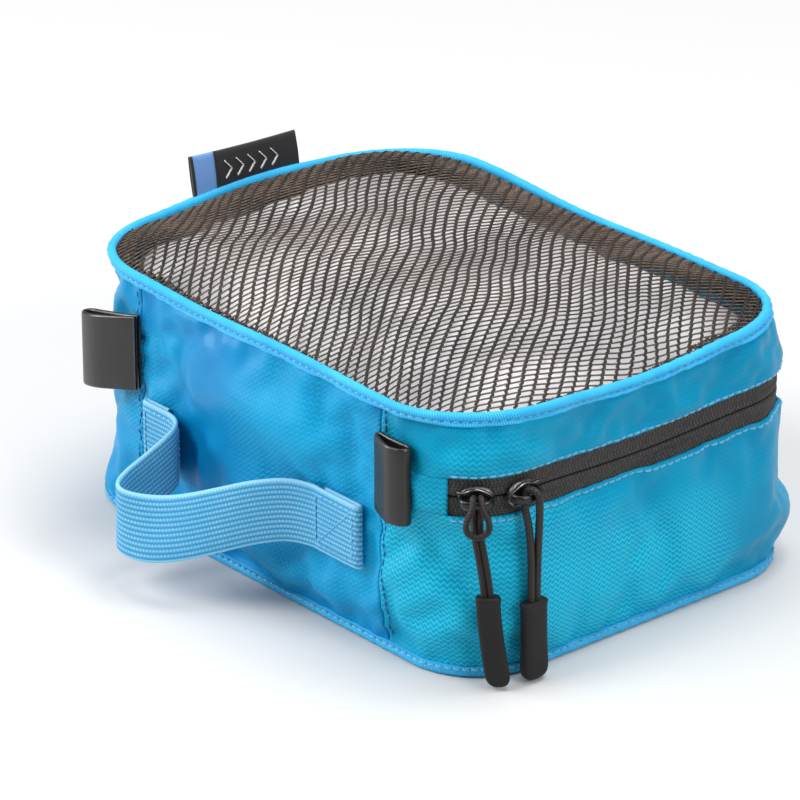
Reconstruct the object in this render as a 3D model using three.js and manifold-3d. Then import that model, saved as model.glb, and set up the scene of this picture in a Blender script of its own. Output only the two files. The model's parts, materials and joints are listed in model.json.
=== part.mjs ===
// A small zipped packing cube: fabric walls, a mesh lid, a two-slider zip and a webbing handle.
// Millimetres, +Z up. The origin is the middle of the base, on the surface that the cube stands on.
// The handle is on the front (-Y) and the two zip sliders are parked at the front right corner (+X, -Y).
import * as THREE from 'three';
import { mergeVertices } from 'three/addons/utils/BufferGeometryUtils.js';
import Module from 'manifold-3d';

const wasm = await Module();
wasm.setup();

// ---- driving dimensions ----
const LENGTH = 182.8; // outside, along X, at the zip
const WIDTH = 137.6; // outside, along Y, at the zip
const RIM_Z = 82.2; // top of the rim binding
const ZIP_Z = 57; // middle of the zip
const ZIP_CORNER = 24; // corner radius at the zip
const FABRIC = 1.2; // a wall's solid, which stands for coated fabric with its seam turnings
const GAP = 0.3; // clearance between pieces that are sewn edge to edge
const RIGHT_SEAM_X = 56; // the front panel's right seam
const LEFT_SEAM_X = -54; // the front panel's left seam
const CORNER_STEP = 10; // degrees between stations round a corner

// How the wall's outline changes with height: how far it grows past the zip's outline, and its corners.
const WALL_LEVELS = [
  { z: 0, growX: -1, growY: -3, corner: 23 },
  { z: 20, growX: 2, growY: 0.8, corner: 28 },
  { z: 46, growX: 0, growY: 0, corner: ZIP_CORNER },
  { z: 63, growX: 0, growY: 0, corner: ZIP_CORNER },
  { z: RIM_Z, growX: 0, growY: 0, corner: 33 },
];

// Base and rim
const PANEL_THICK = 1.2; // the bottom panel
const PIPING = { low: 0.5, high: 3.4, out: 1.4, in: -1.3 }; // the bottom binding's section
const RIM_BINDING = { low: 78.9, high: RIM_Z, out: 0.5, in: -1.9 }; // the rim binding's section
const MESH_THICK = 0.8;
const MESH_RISE = 8.5; // how far the filled lid domes above its edge
const MESH_STEEPNESS = 4.5; // a higher power puts more of the rise near the edge
const MESH_RINGS = [0, 0.04, 0.09, 0.16, 0.26, 0.42, 0.66, 0.88]; // shares of the way to the middle

// Zip
const ZIP_VISIBLE = 11; // tape seen between the fabric edges
const ZIP_END = 30; // degrees round the front corners where the zip starts and ends
const TAPE = { out: -1.5, in: -2.3, split: 0.6, lap: 4 }; // split is half the gap between the tapes
const COIL = { out: -2.6, in: -4, width: 1.6 };

// Sliders and pulls, in a frame with X out of the wall, Y along the zip and Z up
const SLIDER_A_ANGLE = 52; // degrees round the front right corner
const SLIDER_B_Y = -47; // on the right side, just past the corner
const OUTER_PLATE = { low: -0.9, high: 1, length: 9, height: 7.6 };
const INNER_PLATE = { low: -6, high: -5, length: 6.4, height: 7 };
const NECK = { length: 5.6, height: 0.6 };
const BRIDGE = { foot: 1.3, under: 4.1, top: 5.3, reach: 4.2, opening: 2.8, height: 1.4 };
const CORD_RADIUS = 1.1;
const CORD_RING = 2.3; // radius of the cord's bend round the bridge
const GRIP = { top: -26, length: 29.5, width: 9, waist: 8, thick: 4.2, out: 5.6 };

// Webbing: handle and side loops
const WEBBING = 20; // width of the handle's webbing
const HANDLE_Z = 35; // middle of the sewn ends
const HANDLE_THICK = 1.5;
const ANCHOR = { inner: 29, length: 20, back: -69.7, thick: 2.4 }; // a sewn, folded end
const LEFT_ANCHOR_SHIFT = -1.5;
const HANDLE_SAG = 12; // drop of the free strap at its furthest reach
const HANDLE_SAG_FROM = -72;
const HANDLE_SAG_TO = -100;
const ROOT_END_Y = -84; // past this the strap is one stiff bow
const HANDLE_ROUTE = [
  [-30.2, -70.9], [-28.9, -71.5], [-28.4, -73.6], [-29, -80], [-30.4, -87], [-31.2, -92.6], [-29.6, -97.4],
  [-24.8, -99.8], [-18, -98.4], [-8, -93.4], [4, -86], [14, -79], [21.6, -73.6], [28.6, -70.9],
];
const HANDLE_STEPS = 64;
const STITCH = { inset: 2.2, thread: 0.7, raise: 0.5 };
const LOOP = { width: 24, thick: 1.3, layerY: -69.8, foldOut: 3.6, steps: 26 };
const RIGHT_LOOP = { seam: RIGHT_SEAM_X, side: 1, reach: 15, low: 46.5, sag: 0 };
const LEFT_LOOP = { seam: LEFT_SEAM_X, side: -1, reach: 25, low: 46.5, sag: 5.5 };

// Label, a folded tab that stands on the left rim
const LABEL = { x: -91.6, pivotZ: 83, lift: 0.4, height: 12.6, thick: 1.2, lean: -8 };
const LABEL_FRONT_Y = -16;
const LABEL_BACK_Y = 26;
const STRIPE_LENGTH = 10;

// ---- materials ----
const material = (color, roughness, metalness = 0) => new THREE.MeshStandardMaterial({ color, roughness, metalness });
const blueFabric = material(0x1c93d6, 0.55);
const blueBinding = material(0x4ab2ee, 0.6);
const blueWebbing = material(0x78b9e6, 0.75);
const blackWebbing = material(0x2c2c2e, 0.5);
const netting = material(0x3a332f, 0.7);
const zipTape = material(0x3d3b39, 0.8);
const zipCoil = material(0x2a2928, 0.45);
const sliderMetal = material(0x1a1a1b, 0.3, 0.6);
const cord = material(0x1d1c1c, 0.8);
const grip = material(0x19191a, 0.6);
const labelBlack = material(0x141414, 0.7);
const labelBlue = material(0x7699cf, 0.7);

// ---- the wall's outline ----
const radians = THREE.MathUtils.degToRad;

function wallAt(z) {
  const above = WALL_LEVELS.findIndex((level) => level.z >= z);
  const high = WALL_LEVELS[Math.max(above, 1)];
  const low = WALL_LEVELS[Math.max(above, 1) - 1];
  const t = THREE.MathUtils.smoothstep(z, low.z, high.z);
  return {
    halfX: LENGTH / 2 + THREE.MathUtils.lerp(low.growX, high.growX, t),
    halfY: WIDTH / 2 + THREE.MathUtils.lerp(low.growY, high.growY, t),
    corner: THREE.MathUtils.lerp(low.corner, high.corner, t),
  };
}

const grown = (wall, by) => ({ halfX: wall.halfX + by, halfY: wall.halfY + by, corner: wall.corner + by });

// A station is a place round the wall: a function from an outline to its point there.
// Corners are numbered 0 to 3 from the front right, anticlockwise from above.
const cornerAt = (corner, degrees) => (wall) => {
  const heading = radians(90 * corner + degrees - 90);
  const centreX = (wall.halfX - wall.corner) * (corner === 0 || corner === 1 ? 1 : -1);
  const centreY = (wall.halfY - wall.corner) * (corner === 1 || corner === 2 ? 1 : -1);
  return { x: centreX + wall.corner * Math.cos(heading), y: centreY + wall.corner * Math.sin(heading) };
};

const frontAt = (x) => (wall) => {
  const past = Math.max(Math.abs(x) - (wall.halfX - wall.corner), 0);
  return { x, y: wall.corner - wall.halfY - Math.sqrt(wall.corner ** 2 - past ** 2) };
};

const sideAfter = (corner, share) => (wall) => {
  const from = cornerAt(corner, 90)(wall);
  const to = cornerAt((corner + 1) % 4, 0)(wall);
  return { x: THREE.MathUtils.lerp(from.x, to.x, share), y: THREE.MathUtils.lerp(from.y, to.y, share) };
};

function cornerStations(corner, from, to) {
  const stations = [];
  for (let degrees = from; degrees <= to; degrees += CORNER_STEP) stations.push(cornerAt(corner, degrees));
  return stations;
}

const sideStations = (corner) => [0.25, 0.5, 0.75].map((share) => sideAfter(corner, share));

// From one place on the front right corner, round the back, to the same place on the front left.
function aroundBack(start) {
  return [
    ...cornerStations(0, start, 90), ...sideStations(0), ...cornerStations(1, 0, 90), ...sideStations(1),
    ...cornerStations(2, 0, 90), ...sideStations(2), ...cornerStations(3, 0, 90 - start),
  ];
}

const fullRing = [...aroundBack(0), ...sideStations(3)];
const gussetRun = [
  frontAt(RIGHT_SEAM_X + GAP), frontAt(RIGHT_SEAM_X + 5), ...aroundBack(20),
  frontAt(LEFT_SEAM_X - 5), frontAt(LEFT_SEAM_X - GAP),
];
const frontRun = [0, 0.25, 0.5, 0.75, 1].map((share) =>
  frontAt(THREE.MathUtils.lerp(LEFT_SEAM_X + GAP, RIGHT_SEAM_X - GAP, share)));

// ---- solids ----
// Joins two skins, given as rows of points, into one closed solid. Rows run up and points run with the
// outer skin on their right. A closed skin joins its last point to its first, and a capped one fills
// the middle of its last row.
function shell(outer, inner, { closed = false, capped = false } = {}) {
  const rows = outer.length;
  const count = outer[0].length;
  const points = [...outer.flat(), ...inner.flat()];
  const out = (row, at) => row * count + (at % count);
  const inn = (row, at) => rows * count + out(row, at);
  const index = [];
  const quad = (a, b, c, d) => index.push(a, b, c, a, c, d);
  const last = rows - 1;
  const spans = closed ? count : count - 1;
  for (let at = 0; at < spans; at += 1) {
    for (let row = 0; row < last; row += 1) {
      quad(out(row, at), out(row, at + 1), out(row + 1, at + 1), out(row + 1, at));
      quad(inn(row, at), inn(row + 1, at), inn(row + 1, at + 1), inn(row, at + 1));
    }
    quad(out(0, at), inn(0, at), inn(0, at + 1), out(0, at + 1));
    if (!capped) quad(out(last, at), out(last, at + 1), inn(last, at + 1), inn(last, at));
  }
  if (capped) {
    const middle = (row) => row.reduce((sum, point) => sum.add(point), new THREE.Vector3()).divideScalar(count);
    const top = points.push(middle(outer[last])) - 1;
    const under = points.push(middle(inner[last])) - 1;
    for (let at = 0; at < spans; at += 1) {
      index.push(out(last, at), out(last, at + 1), top, inn(last, at + 1), inn(last, at), under);
    }
  }
  if (!closed) {
    for (let row = 0; row < last; row += 1) {
      quad(out(row, 0), out(row + 1, 0), inn(row + 1, 0), inn(row, 0));
      quad(out(row, spans), inn(row, spans), inn(row + 1, spans), out(row + 1, spans));
    }
  }
  return new THREE.BufferGeometry().setFromPoints(points).setIndex(index);
}

// A strip of wall through some heights: each level says how far its two faces stand off the outline.
function band(stations, levels, closed = false) {
  const skin = (face) => levels.map((level) => {
    const wall = grown(wallAt(level.z), level[face]);
    return stations.map((station) => {
      const point = station(wall);
      return new THREE.Vector3(point.x, point.y, level.z);
    });
  });
  return shell(skin('out'), skin('in'), { closed });
}

const fabricLevels = (...heights) => heights.map((z) => ({ z, out: 0, in: -FABRIC }));

function bindingRing({ low, high, out, in: inside }) {
  const round = 0.5;
  return band(fullRing, [
    { z: low, out: out - round, in: inside + round / 2 },
    { z: low + round, out, in: inside },
    { z: high - round, out, in: inside },
    { z: high, out: out - round, in: inside + round / 2 },
  ], true);
}

// Webbing on edge: a flat route seen from above, with heights given by functions of the route's point.
function ribbon(centre, thick, lowAt, highAt) {
  const side = (sign, heightAt) => centre.map((point, at) => {
    const before = centre[Math.max(at - 1, 0)];
    const after = centre[Math.min(at + 1, centre.length - 1)];
    const along = after.clone().sub(before).normalize();
    const shift = (sign * thick) / 2;
    return new THREE.Vector3(point.x + along.y * shift, point.y - along.x * shift, heightAt(point));
  });
  return shell([side(1, lowAt), side(1, highAt)], [side(-1, lowAt), side(-1, highAt)]);
}

const curveThrough = (route) => new THREE.CatmullRomCurve3(
  route.map(([x, y, z = 0]) => new THREE.Vector3(x, y, z)), false, 'centripetal');

function toSolid(geometry) {
  const bare = geometry.clone();
  bare.deleteAttribute('normal');
  bare.deleteAttribute('uv');
  const merged = mergeVertices(bare, 1e-4);
  return new wasm.Manifold(new wasm.Mesh({
    numProp: 3,
    vertProperties: new Float32Array(merged.attributes.position.array),
    triVerts: new Uint32Array(merged.index.array),
  }));
}

function fromSolid(solid) {
  const mesh = solid.getMesh();
  const geometry = new THREE.BufferGeometry();
  geometry.setAttribute('position', new THREE.BufferAttribute(mesh.vertProperties, 3));
  geometry.setIndex(new THREE.BufferAttribute(mesh.triVerts, 1));
  return geometry;
}

// ---- the assembly ----
const packingCube = new THREE.Group();

function piece(name, geometry, look, parent = packingCube) {
  const mesh = new THREE.Mesh(geometry, look);
  mesh.name = name;
  parent.add(mesh);
  return mesh;
}

function addWalls() {
  const zipLow = ZIP_Z - ZIP_VISIBLE / 2 - GAP;
  const zipHigh = ZIP_Z + ZIP_VISIBLE / 2 + GAP;
  const wallFoot = PIPING.high + GAP;
  const wallTop = RIM_BINDING.low - GAP;
  piece('lower_gusset', band(gussetRun, fabricLevels(wallFoot, 10, 17, 25, 34, 46, zipLow)), blueFabric);
  piece('upper_gusset', band(gussetRun, fabricLevels(zipHigh, 67, 73, wallTop)), blueFabric);
  piece('front_panel_lower', band(frontRun, fabricLevels(wallFoot, 10, 17, 25, 34, 46, ZIP_Z - GAP)), blueFabric);
  piece('front_panel_upper', band(frontRun, fabricLevels(ZIP_Z + GAP, 67, 73, wallTop)), blueFabric);
  const tabLevels = fabricLevels(zipLow + GAP, zipHigh - GAP);
  const tabEnd = ZIP_END - 1;
  const rightTab = [frontAt(RIGHT_SEAM_X + GAP), frontAt(RIGHT_SEAM_X + 7), cornerAt(0, 10), cornerAt(0, 20)];
  const leftTab = [cornerAt(3, 70), cornerAt(3, 80), frontAt(LEFT_SEAM_X - 7), frontAt(LEFT_SEAM_X - GAP)];
  piece('zip_end_tab_right', band([...rightTab, cornerAt(0, tabEnd)], tabLevels), blueFabric);
  piece('zip_end_tab_left', band([cornerAt(3, 90 - tabEnd), ...leftTab], tabLevels), blueFabric);
}

function addBase() {
  const floor = grown(wallAt(0), PIPING.in - GAP);
  const outline = new THREE.Shape(fullRing.map((station) => {
    const point = station(floor);
    return new THREE.Vector2(point.x, point.y);
  }));
  piece('bottom_panel', new THREE.ExtrudeGeometry(outline, { depth: PANEL_THICK, bevelEnabled: false }), blueFabric);
  piece('bottom_binding', bindingRing(PIPING), blueBinding);
}

function addLidTop() {
  piece('top_binding', bindingRing(RIM_BINDING), blueBinding);
  const edge = grown(wallAt(RIM_Z), RIM_BINDING.in - GAP);
  const edgeZ = RIM_Z - 1.2;
  const skin = (drop) => MESH_RINGS.map((share) => {
    const rise = MESH_RISE * (1 - (1 - share) ** MESH_STEEPNESS);
    return fullRing.map((station) => {
      const point = station(edge);
      return new THREE.Vector3(point.x * (1 - share), point.y * (1 - share), edgeZ + rise - drop);
    });
  });
  piece('mesh_top', shell(skin(0), skin(MESH_THICK), { closed: true, capped: true }), netting);
}

function addZip() {
  const run = aroundBack(ZIP_END);
  const half = ZIP_VISIBLE / 2 + TAPE.lap;
  const levels = (low, high, { out, in: inside }) => [low, high].map((z) => ({ z, out, in: inside }));
  const split = TAPE.split;
  piece('lower_zip_tape', band(run, levels(ZIP_Z - half, ZIP_Z - split, TAPE)), zipTape);
  piece('upper_zip_tape', band(run, levels(ZIP_Z + split, ZIP_Z + half, TAPE)), zipTape);
  piece('lower_zip_coil', band(run, levels(ZIP_Z - split - COIL.width, ZIP_Z - split, COIL)), zipCoil);
  piece('upper_zip_coil', band(run, levels(ZIP_Z + split, ZIP_Z + split + COIL.width, COIL)), zipCoil);
}

function plateSolid({ low, high, length, height }) {
  const plate = new THREE.BoxGeometry(high - low, length, height);
  return toSolid(plate.translate((low + high) / 2, 0, 0));
}

function sliderBodyGeometry() {
  const neck = plateSolid({ ...NECK, low: INNER_PLATE.low + 0.5, high: OUTER_PLATE.low + 0.5 });
  return fromSolid(plateSolid(OUTER_PLATE).add(plateSolid(INNER_PLATE)).add(neck));
}

function bridgeGeometry() {
  const { foot, under, top, reach, opening, height } = BRIDGE;
  const corners = [
    [foot, -reach], [top - 1, -reach], [top, 1 - reach], [top, reach - 1], [top - 1, reach], [foot, reach],
    [foot, opening], [under, opening], [under, -opening], [foot, -opening],
  ];
  const arch = new THREE.Shape(corners.map(([x, y]) => new THREE.Vector2(x, y)));
  return new THREE.ExtrudeGeometry(arch, { depth: height, bevelEnabled: false }).translate(0, 0, -height / 2);
}

// The doubled cord: up behind the bridge, over it, and down in front, with its ends side by side.
function cordGeometry() {
  const strap = (BRIDGE.under + BRIDGE.top) / 2;
  const end = GRIP.top + GAP;
  const bend = [150, 120, 90, 60, 30].map((degrees) => [
    strap + CORD_RING * Math.cos(radians(degrees)), 0, CORD_RING * Math.sin(radians(degrees)),
  ]);
  const spread = CORD_RADIUS + 0.15;
  const path = curveThrough([
    [GRIP.out, -spread, end], [GRIP.out - 0.4, -spread, end + 8], [strap - CORD_RING + 0.9, -0.9, -9],
    [strap - CORD_RING, -0.2, -2], ...bend, [strap + CORD_RING, 0.2, -2], [strap + CORD_RING - 0.4, 0.9, -9],
    [GRIP.out + 0.4, spread, end + 8], [GRIP.out, spread, end],
  ]);
  const circle = new THREE.Shape().absarc(0, 0, CORD_RADIUS, 0, 2 * Math.PI);
  return new THREE.ExtrudeGeometry(circle, { extrudePath: path, steps: 34, curveSegments: 8, bevelEnabled: false });
}

function gripGeometry() {
  const { top, length, width, waist, thick, out } = GRIP;
  const half = width / 2;
  const low = top - length;
  const shape = new THREE.Shape();
  shape.moveTo(-half + 1, top);
  shape.lineTo(-half + 0.4, top - 5);
  shape.bezierCurveTo(-waist / 2, top - 9, -waist / 2, top - 14, -half, low + 8);
  shape.bezierCurveTo(-half - 0.3, low + 1, -half + 2, low, 0, low);
  shape.bezierCurveTo(half - 2, low, half + 0.3, low + 1, half, low + 8);
  shape.bezierCurveTo(waist / 2, top - 14, waist / 2, top - 9, half - 0.4, top - 5);
  shape.lineTo(half - 1, top);
  const bevel = 0.7;
  const slab = new THREE.ExtrudeGeometry(shape, {
    depth: thick - 2 * bevel, curveSegments: 5, bevelSize: bevel, bevelThickness: bevel, bevelSegments: 1,
    bevelOffset: -bevel,
  });
  slab.translate(0, 0, bevel - thick / 2);
  slab.rotateX(Math.PI / 2);
  slab.rotateZ(Math.PI / 2);
  return slab.translate(out, 0, 0);
}

function addSlider(letter, x, y, turn) {
  const place = new THREE.Group();
  place.position.set(x, y, ZIP_Z);
  place.rotation.z = turn;
  packingCube.add(place);
  piece(`slider_${letter}_body`, sliderBodyGeometry(), sliderMetal, place);
  piece(`slider_${letter}_bridge`, bridgeGeometry(), sliderMetal, place);
  piece(`pull_${letter}_cord`, cordGeometry(), cord, place);
  piece(`pull_${letter}_grip`, gripGeometry(), grip, place);
}

function addSliders() {
  const corner = cornerAt(0, SLIDER_A_ANGLE)(wallAt(ZIP_Z));
  addSlider('a', corner.x, corner.y, radians(SLIDER_A_ANGLE - 90));
  addSlider('b', LENGTH / 2, SLIDER_B_Y, 0);
}

// A square frame of thread with one diagonal, standing on the face of a sewn end.
function boxStitchGeometry() {
  const far = WEBBING / 2 - STITCH.inset;
  const near = far - STITCH.thread;
  const cut = STITCH.thread;
  const square = (size) => [[-size, -size], [size, -size], [size, size], [-size, size]];
  const toPath = (kind, corners) => new kind(corners.map(([x, y]) => new THREE.Vector2(x, y)));
  const frame = toPath(THREE.Shape, square(far));
  frame.holes.push(toPath(THREE.Path, [[-near, cut - near], [-near, near], [near - cut, near]]));
  frame.holes.push(toPath(THREE.Path, [[cut - near, -near], [near, near - cut], [near, -near]]));
  return new THREE.ExtrudeGeometry(frame, { depth: STITCH.raise, bevelEnabled: false }).rotateX(Math.PI / 2);
}

function addHandleEnd(name, centreX) {
  const end = new THREE.BoxGeometry(ANCHOR.length, ANCHOR.thick, WEBBING);
  piece(`handle_${name}_anchor`, end, blueWebbing).position.set(centreX, ANCHOR.back - ANCHOR.thick / 2, HANDLE_Z);
  const stitch = piece(`handle_${name}_box_stitch`, boxStitchGeometry(), blueBinding);
  stitch.position.set(centreX, ANCHOR.back - ANCHOR.thick - GAP, HANDLE_Z);
}

function addHandle() {
  const centre = ANCHOR.inner + ANCHOR.length / 2;
  addHandleEnd('left', LEFT_ANCHOR_SHIFT - centre);
  addHandleEnd('right', centre);
  const points = curveThrough(HANDLE_ROUTE).getSpacedPoints(HANDLE_STEPS);
  const sag = ({ y }) => HANDLE_SAG * THREE.MathUtils.smoothstep(-y, -HANDLE_SAG_FROM, -HANDLE_SAG_TO);
  const low = (point) => HANDLE_Z - WEBBING / 2 - sag(point);
  const high = (point) => HANDLE_Z + WEBBING / 2 - sag(point);
  const first = points.findIndex((point) => point.y < ROOT_END_Y);
  const after = points.findIndex((point, at) => at > first && point.y > ROOT_END_Y);
  const strip = (from, to) => {
    const part = points.slice(from, to + 1);
    part[0] = part[0].clone().lerp(part[1], 0.2);
    return ribbon(part, HANDLE_THICK, low, high);
  };
  piece('handle_left_root', strip(0, first), blueWebbing);
  piece('handle_strap', strip(first, after), blueWebbing);
  piece('handle_right_root', strip(after, points.length - 1), blueWebbing);
}

// A short folded loop of webbing, caught in a front seam with its fold pointing away from the panel.
function addLoop(name, { seam, side, reach, low, sag }) {
  const { width, layerY, thick, foldOut, steps } = LOOP;
  const along = (share) => seam + side * (0.4 + (reach - 0.4 - thick / 2) * share);
  const route = [
    [along(0), layerY], [along(0.4), layerY], [along(0.85), layerY - 0.1], [along(1), layerY - foldOut / 2],
    [along(0.85), layerY - foldOut], [along(0.4), layerY - 0.6 * foldOut], [along(0), layerY - thick - GAP],
  ];
  const drop = (point) => (sag * Math.abs(point.x - seam)) / reach;
  const points = curveThrough(route).getSpacedPoints(steps);
  const height = (from) => (point) => from - drop(point);
  piece(name, ribbon(points, thick, height(low), height(low + width)), blackWebbing);
}

function addLabel() {
  const tab = (name, fromY, toY, look) => {
    const strip = new THREE.BoxGeometry(LABEL.thick, toY - fromY, LABEL.height);
    strip.translate(0, (fromY + toY) / 2, LABEL.lift + LABEL.height / 2);
    const mesh = piece(name, strip, look);
    mesh.position.set(LABEL.x, 0, LABEL.pivotZ);
    mesh.rotation.y = radians(LABEL.lean);
  };
  tab('label_stripe', LABEL_FRONT_Y, LABEL_FRONT_Y + STRIPE_LENGTH - GAP, labelBlue);
  tab('label_body', LABEL_FRONT_Y + STRIPE_LENGTH, LABEL_BACK_Y, labelBlack);
}

addBase();
addWalls();
addZip();
addLidTop();
addHandle();
addLoop('right_loop', RIGHT_LOOP);
addLoop('left_loop', LEFT_LOOP);
addSliders();
addLabel();

export default packingCube;
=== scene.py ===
"""A small zipped packing cube: coated blue fabric, netting lid, reverse-coil zip and webbing handle.

Lengths are in millimetres until mesh_piece() turns them into metres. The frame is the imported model's:
+Z up, the front with the handle at -Y, the parked zip sliders at the front right corner (+X, -Y).
A place on the wall is given by s and z: s runs along the zip from the middle of the front, positive
to the right and negative to the left, and z is the height.
"""
import json
import math

import bpy
import numpy as np
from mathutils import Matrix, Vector, noise


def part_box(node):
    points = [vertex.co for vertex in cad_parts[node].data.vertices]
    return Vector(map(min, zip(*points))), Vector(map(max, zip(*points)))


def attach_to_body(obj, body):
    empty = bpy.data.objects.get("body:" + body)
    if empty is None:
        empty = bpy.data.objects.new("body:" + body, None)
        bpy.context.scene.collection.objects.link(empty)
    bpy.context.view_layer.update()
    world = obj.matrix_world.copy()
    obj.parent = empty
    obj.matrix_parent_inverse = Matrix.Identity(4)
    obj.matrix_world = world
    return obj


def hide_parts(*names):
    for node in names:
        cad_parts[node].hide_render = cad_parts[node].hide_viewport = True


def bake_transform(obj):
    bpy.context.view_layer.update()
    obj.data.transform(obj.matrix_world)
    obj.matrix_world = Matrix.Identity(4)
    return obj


MM = 0.001
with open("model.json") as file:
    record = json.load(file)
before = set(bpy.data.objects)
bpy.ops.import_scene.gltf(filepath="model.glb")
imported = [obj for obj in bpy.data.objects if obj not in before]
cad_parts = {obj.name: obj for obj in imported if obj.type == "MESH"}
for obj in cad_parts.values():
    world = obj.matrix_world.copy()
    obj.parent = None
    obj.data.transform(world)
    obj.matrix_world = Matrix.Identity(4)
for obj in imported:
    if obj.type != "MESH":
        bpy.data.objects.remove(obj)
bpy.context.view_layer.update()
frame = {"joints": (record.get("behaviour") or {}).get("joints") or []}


def node_box(name):
    """A CAD node's lowest and highest corners, in millimetres."""
    low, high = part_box(name)
    return np.array(low) / MM, np.array(high) / MM


# ---- sizes from the frame ----
TAB_LOW, TAB_HIGH = node_box("zip_end_tab_right")
PANEL_LOW, PANEL_HIGH = node_box("front_panel_lower")
HALF_X, HALF_Y = node_box("upper_gusset")[1][:2]
RIM_Z = node_box("top_binding")[1][2]
WALL_FOOT = node_box("bottom_binding")[1][2] - 1.2
WALL_TOP = RIM_Z - 2.4
ZIP_Z = (TAB_LOW[2] + TAB_HIGH[2]) / 2
FOLD_LOW = TAB_LOW[2] - 0.2
FOLD_HIGH = TAB_HIGH[2] + 0.2
SEAM_RIGHT = PANEL_HIGH[0] + 0.3
SEAM_LEFT = PANEL_LOW[0] - 0.3
ZIP_CORNER = 24.0
COIL_PITCH = 1.5
WEBBING = 20.0  # width of the handle's webbing
LOOP_WEBBING = 24.0

# How the wall's outline changes with height: growth past the zip's outline, and corner radius.
LEVEL_Z = np.array([0.0, 20.0, 46.0, 63.0, RIM_Z])
LEVEL_GROW_X = np.array([-1.0, 2.0, 0.0, 0.0, 0.0])
LEVEL_GROW_Y = np.array([-3.0, 0.8, 0.0, 0.0, 0.0])
LEVEL_CORNER = np.array([23.0, 28.0, ZIP_CORNER, ZIP_CORNER, 33.0])

ZIP_ROUND = math.radians(30)  # how far round the front corners the zip starts
STRAIGHT = HALF_X - ZIP_CORNER  # half the straight of the front, at the zip
ZIP_START = STRAIGHT + ZIP_CORNER * ZIP_ROUND
HALF_ROUND = 2 * (HALF_X + HALF_Y) - (4 - math.pi) * ZIP_CORNER


# ---- the wall's outline ----
def wrapped(s):
    """The same place on the wall, with s between -HALF_ROUND and HALF_ROUND."""
    return (s + HALF_ROUND) % (2 * HALF_ROUND) - HALF_ROUND


def ease(value):
    """From 0 to 1 and level at both ends."""
    t = np.clip(value, 0, 1)
    return t * t * (3 - 2 * t)


def blend_levels(values, z):
    """A quantity of the outline at heights z, eased from level to level."""
    z = np.clip(z, LEVEL_Z[0], LEVEL_Z[-1])
    at = np.clip(np.searchsorted(LEVEL_Z, z) - 1, 0, len(LEVEL_Z) - 2)
    share = ease((z - LEVEL_Z[at]) / (LEVEL_Z[at + 1] - LEVEL_Z[at]))
    return values[at] + (values[at + 1] - values[at]) * share


def hump(value, centre, reach):
    """A smooth bump: 1 at the centre, nearly 0 past twice the reach."""
    return np.exp(-(((value - centre) / reach) ** 2))


def sway(s, z):
    """How far the soft wall wanders outwards and upwards from its plain outline."""
    s = wrapped(s)
    turn = s / HALF_ROUND * math.pi
    upper = np.clip((z - 64) / (RIM_Z - 64), 0, 1) ** 1.5
    lean = upper * (0.8 * np.sin(2 * turn + 0.6) + 0.6 * np.sin(5 * turn + 2.0))
    rise = upper * (0.7 * np.sin(3 * turn + 2.4) + 0.5 * np.sin(7 * turn + 0.4))
    lean = lean + upper * (1.8 * hump(s, -150, 40) - 1.4 * hump(s, 140, 48))
    rise = rise + upper * (2.2 * hump(s, -150, 45) - 2.2 * hump(s, 165, 34))
    zip_height = np.clip((z - 30) / 27, 0, 1) ** 2
    rise = rise - 1.6 * zip_height * hump(s, 150, 34)
    drawn_in = np.clip((z - 6) / 16, 0, 1) * np.clip((RIM_Z - 1 - z) / 9, 0, 1)
    lean = lean - 6.0 * drawn_in * hump(s, -86, 20)
    lean = lean + 3.0 * hump(s, 218, 15) * hump(z, 15, 12)
    lean = lean + 2.6 * hump(s, 0, 32) * hump(z, 61, 9)
    return lean, rise


def outline(s, z):
    """Points (x, y) and outward normals of the plain outline."""
    s, z = np.broadcast_arrays(np.asarray(s, float), np.asarray(z, float))
    s = wrapped(s)
    half_x = HALF_X + blend_levels(LEVEL_GROW_X, z)
    half_y = HALF_Y + blend_levels(LEVEL_GROW_Y, z)
    corner = blend_levels(LEVEL_CORNER, z)
    half_round = 2 * (half_x + half_y) - (4 - math.pi) * corner
    run = np.abs(s)
    stretch = (half_round - SEAM_RIGHT) / (HALF_ROUND - SEAM_RIGHT)
    run = np.where(run < SEAM_RIGHT, run, SEAM_RIGHT + (run - SEAM_RIGHT) * stretch)
    front = half_x - corner
    side = 2 * (half_y - corner)
    arc = corner * math.pi / 2
    first = np.clip((run - front) / corner, 0, math.pi / 2)
    up = np.clip(run - front - arc, 0, side)
    second = np.clip((run - front - arc - side) / corner, 0, math.pi / 2)
    back = np.clip(run - front - 2 * arc - side, 0, front)
    angle = first + second
    x = np.minimum(run, front) + corner * np.sin(angle) - back
    y = -(half_y - corner) - corner * np.cos(angle) + up
    mirror = np.where(s < 0, -1.0, 1.0)
    return np.stack([x * mirror, y], -1), np.stack([np.sin(angle) * mirror, -np.cos(angle)], -1)


SLACK = {}  # how the cloth simulation moved the wall: filled by simulate_wall()


def cubic(at, count, wrap):
    """Weights and indices for smooth interpolation between grid rows."""
    base = np.floor(at).astype(int)
    t = at - base
    weights = [
        -0.5 * t**3 + t**2 - 0.5 * t,
        1.5 * t**3 - 2.5 * t**2 + 1,
        -1.5 * t**3 + 2 * t**2 + 0.5 * t,
        0.5 * t**3 - 0.5 * t**2,
    ]
    picks = [base + step for step in (-1, 0, 1, 2)]
    return weights, [pick % count if wrap else np.clip(pick, 0, count - 1) for pick in picks]


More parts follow.
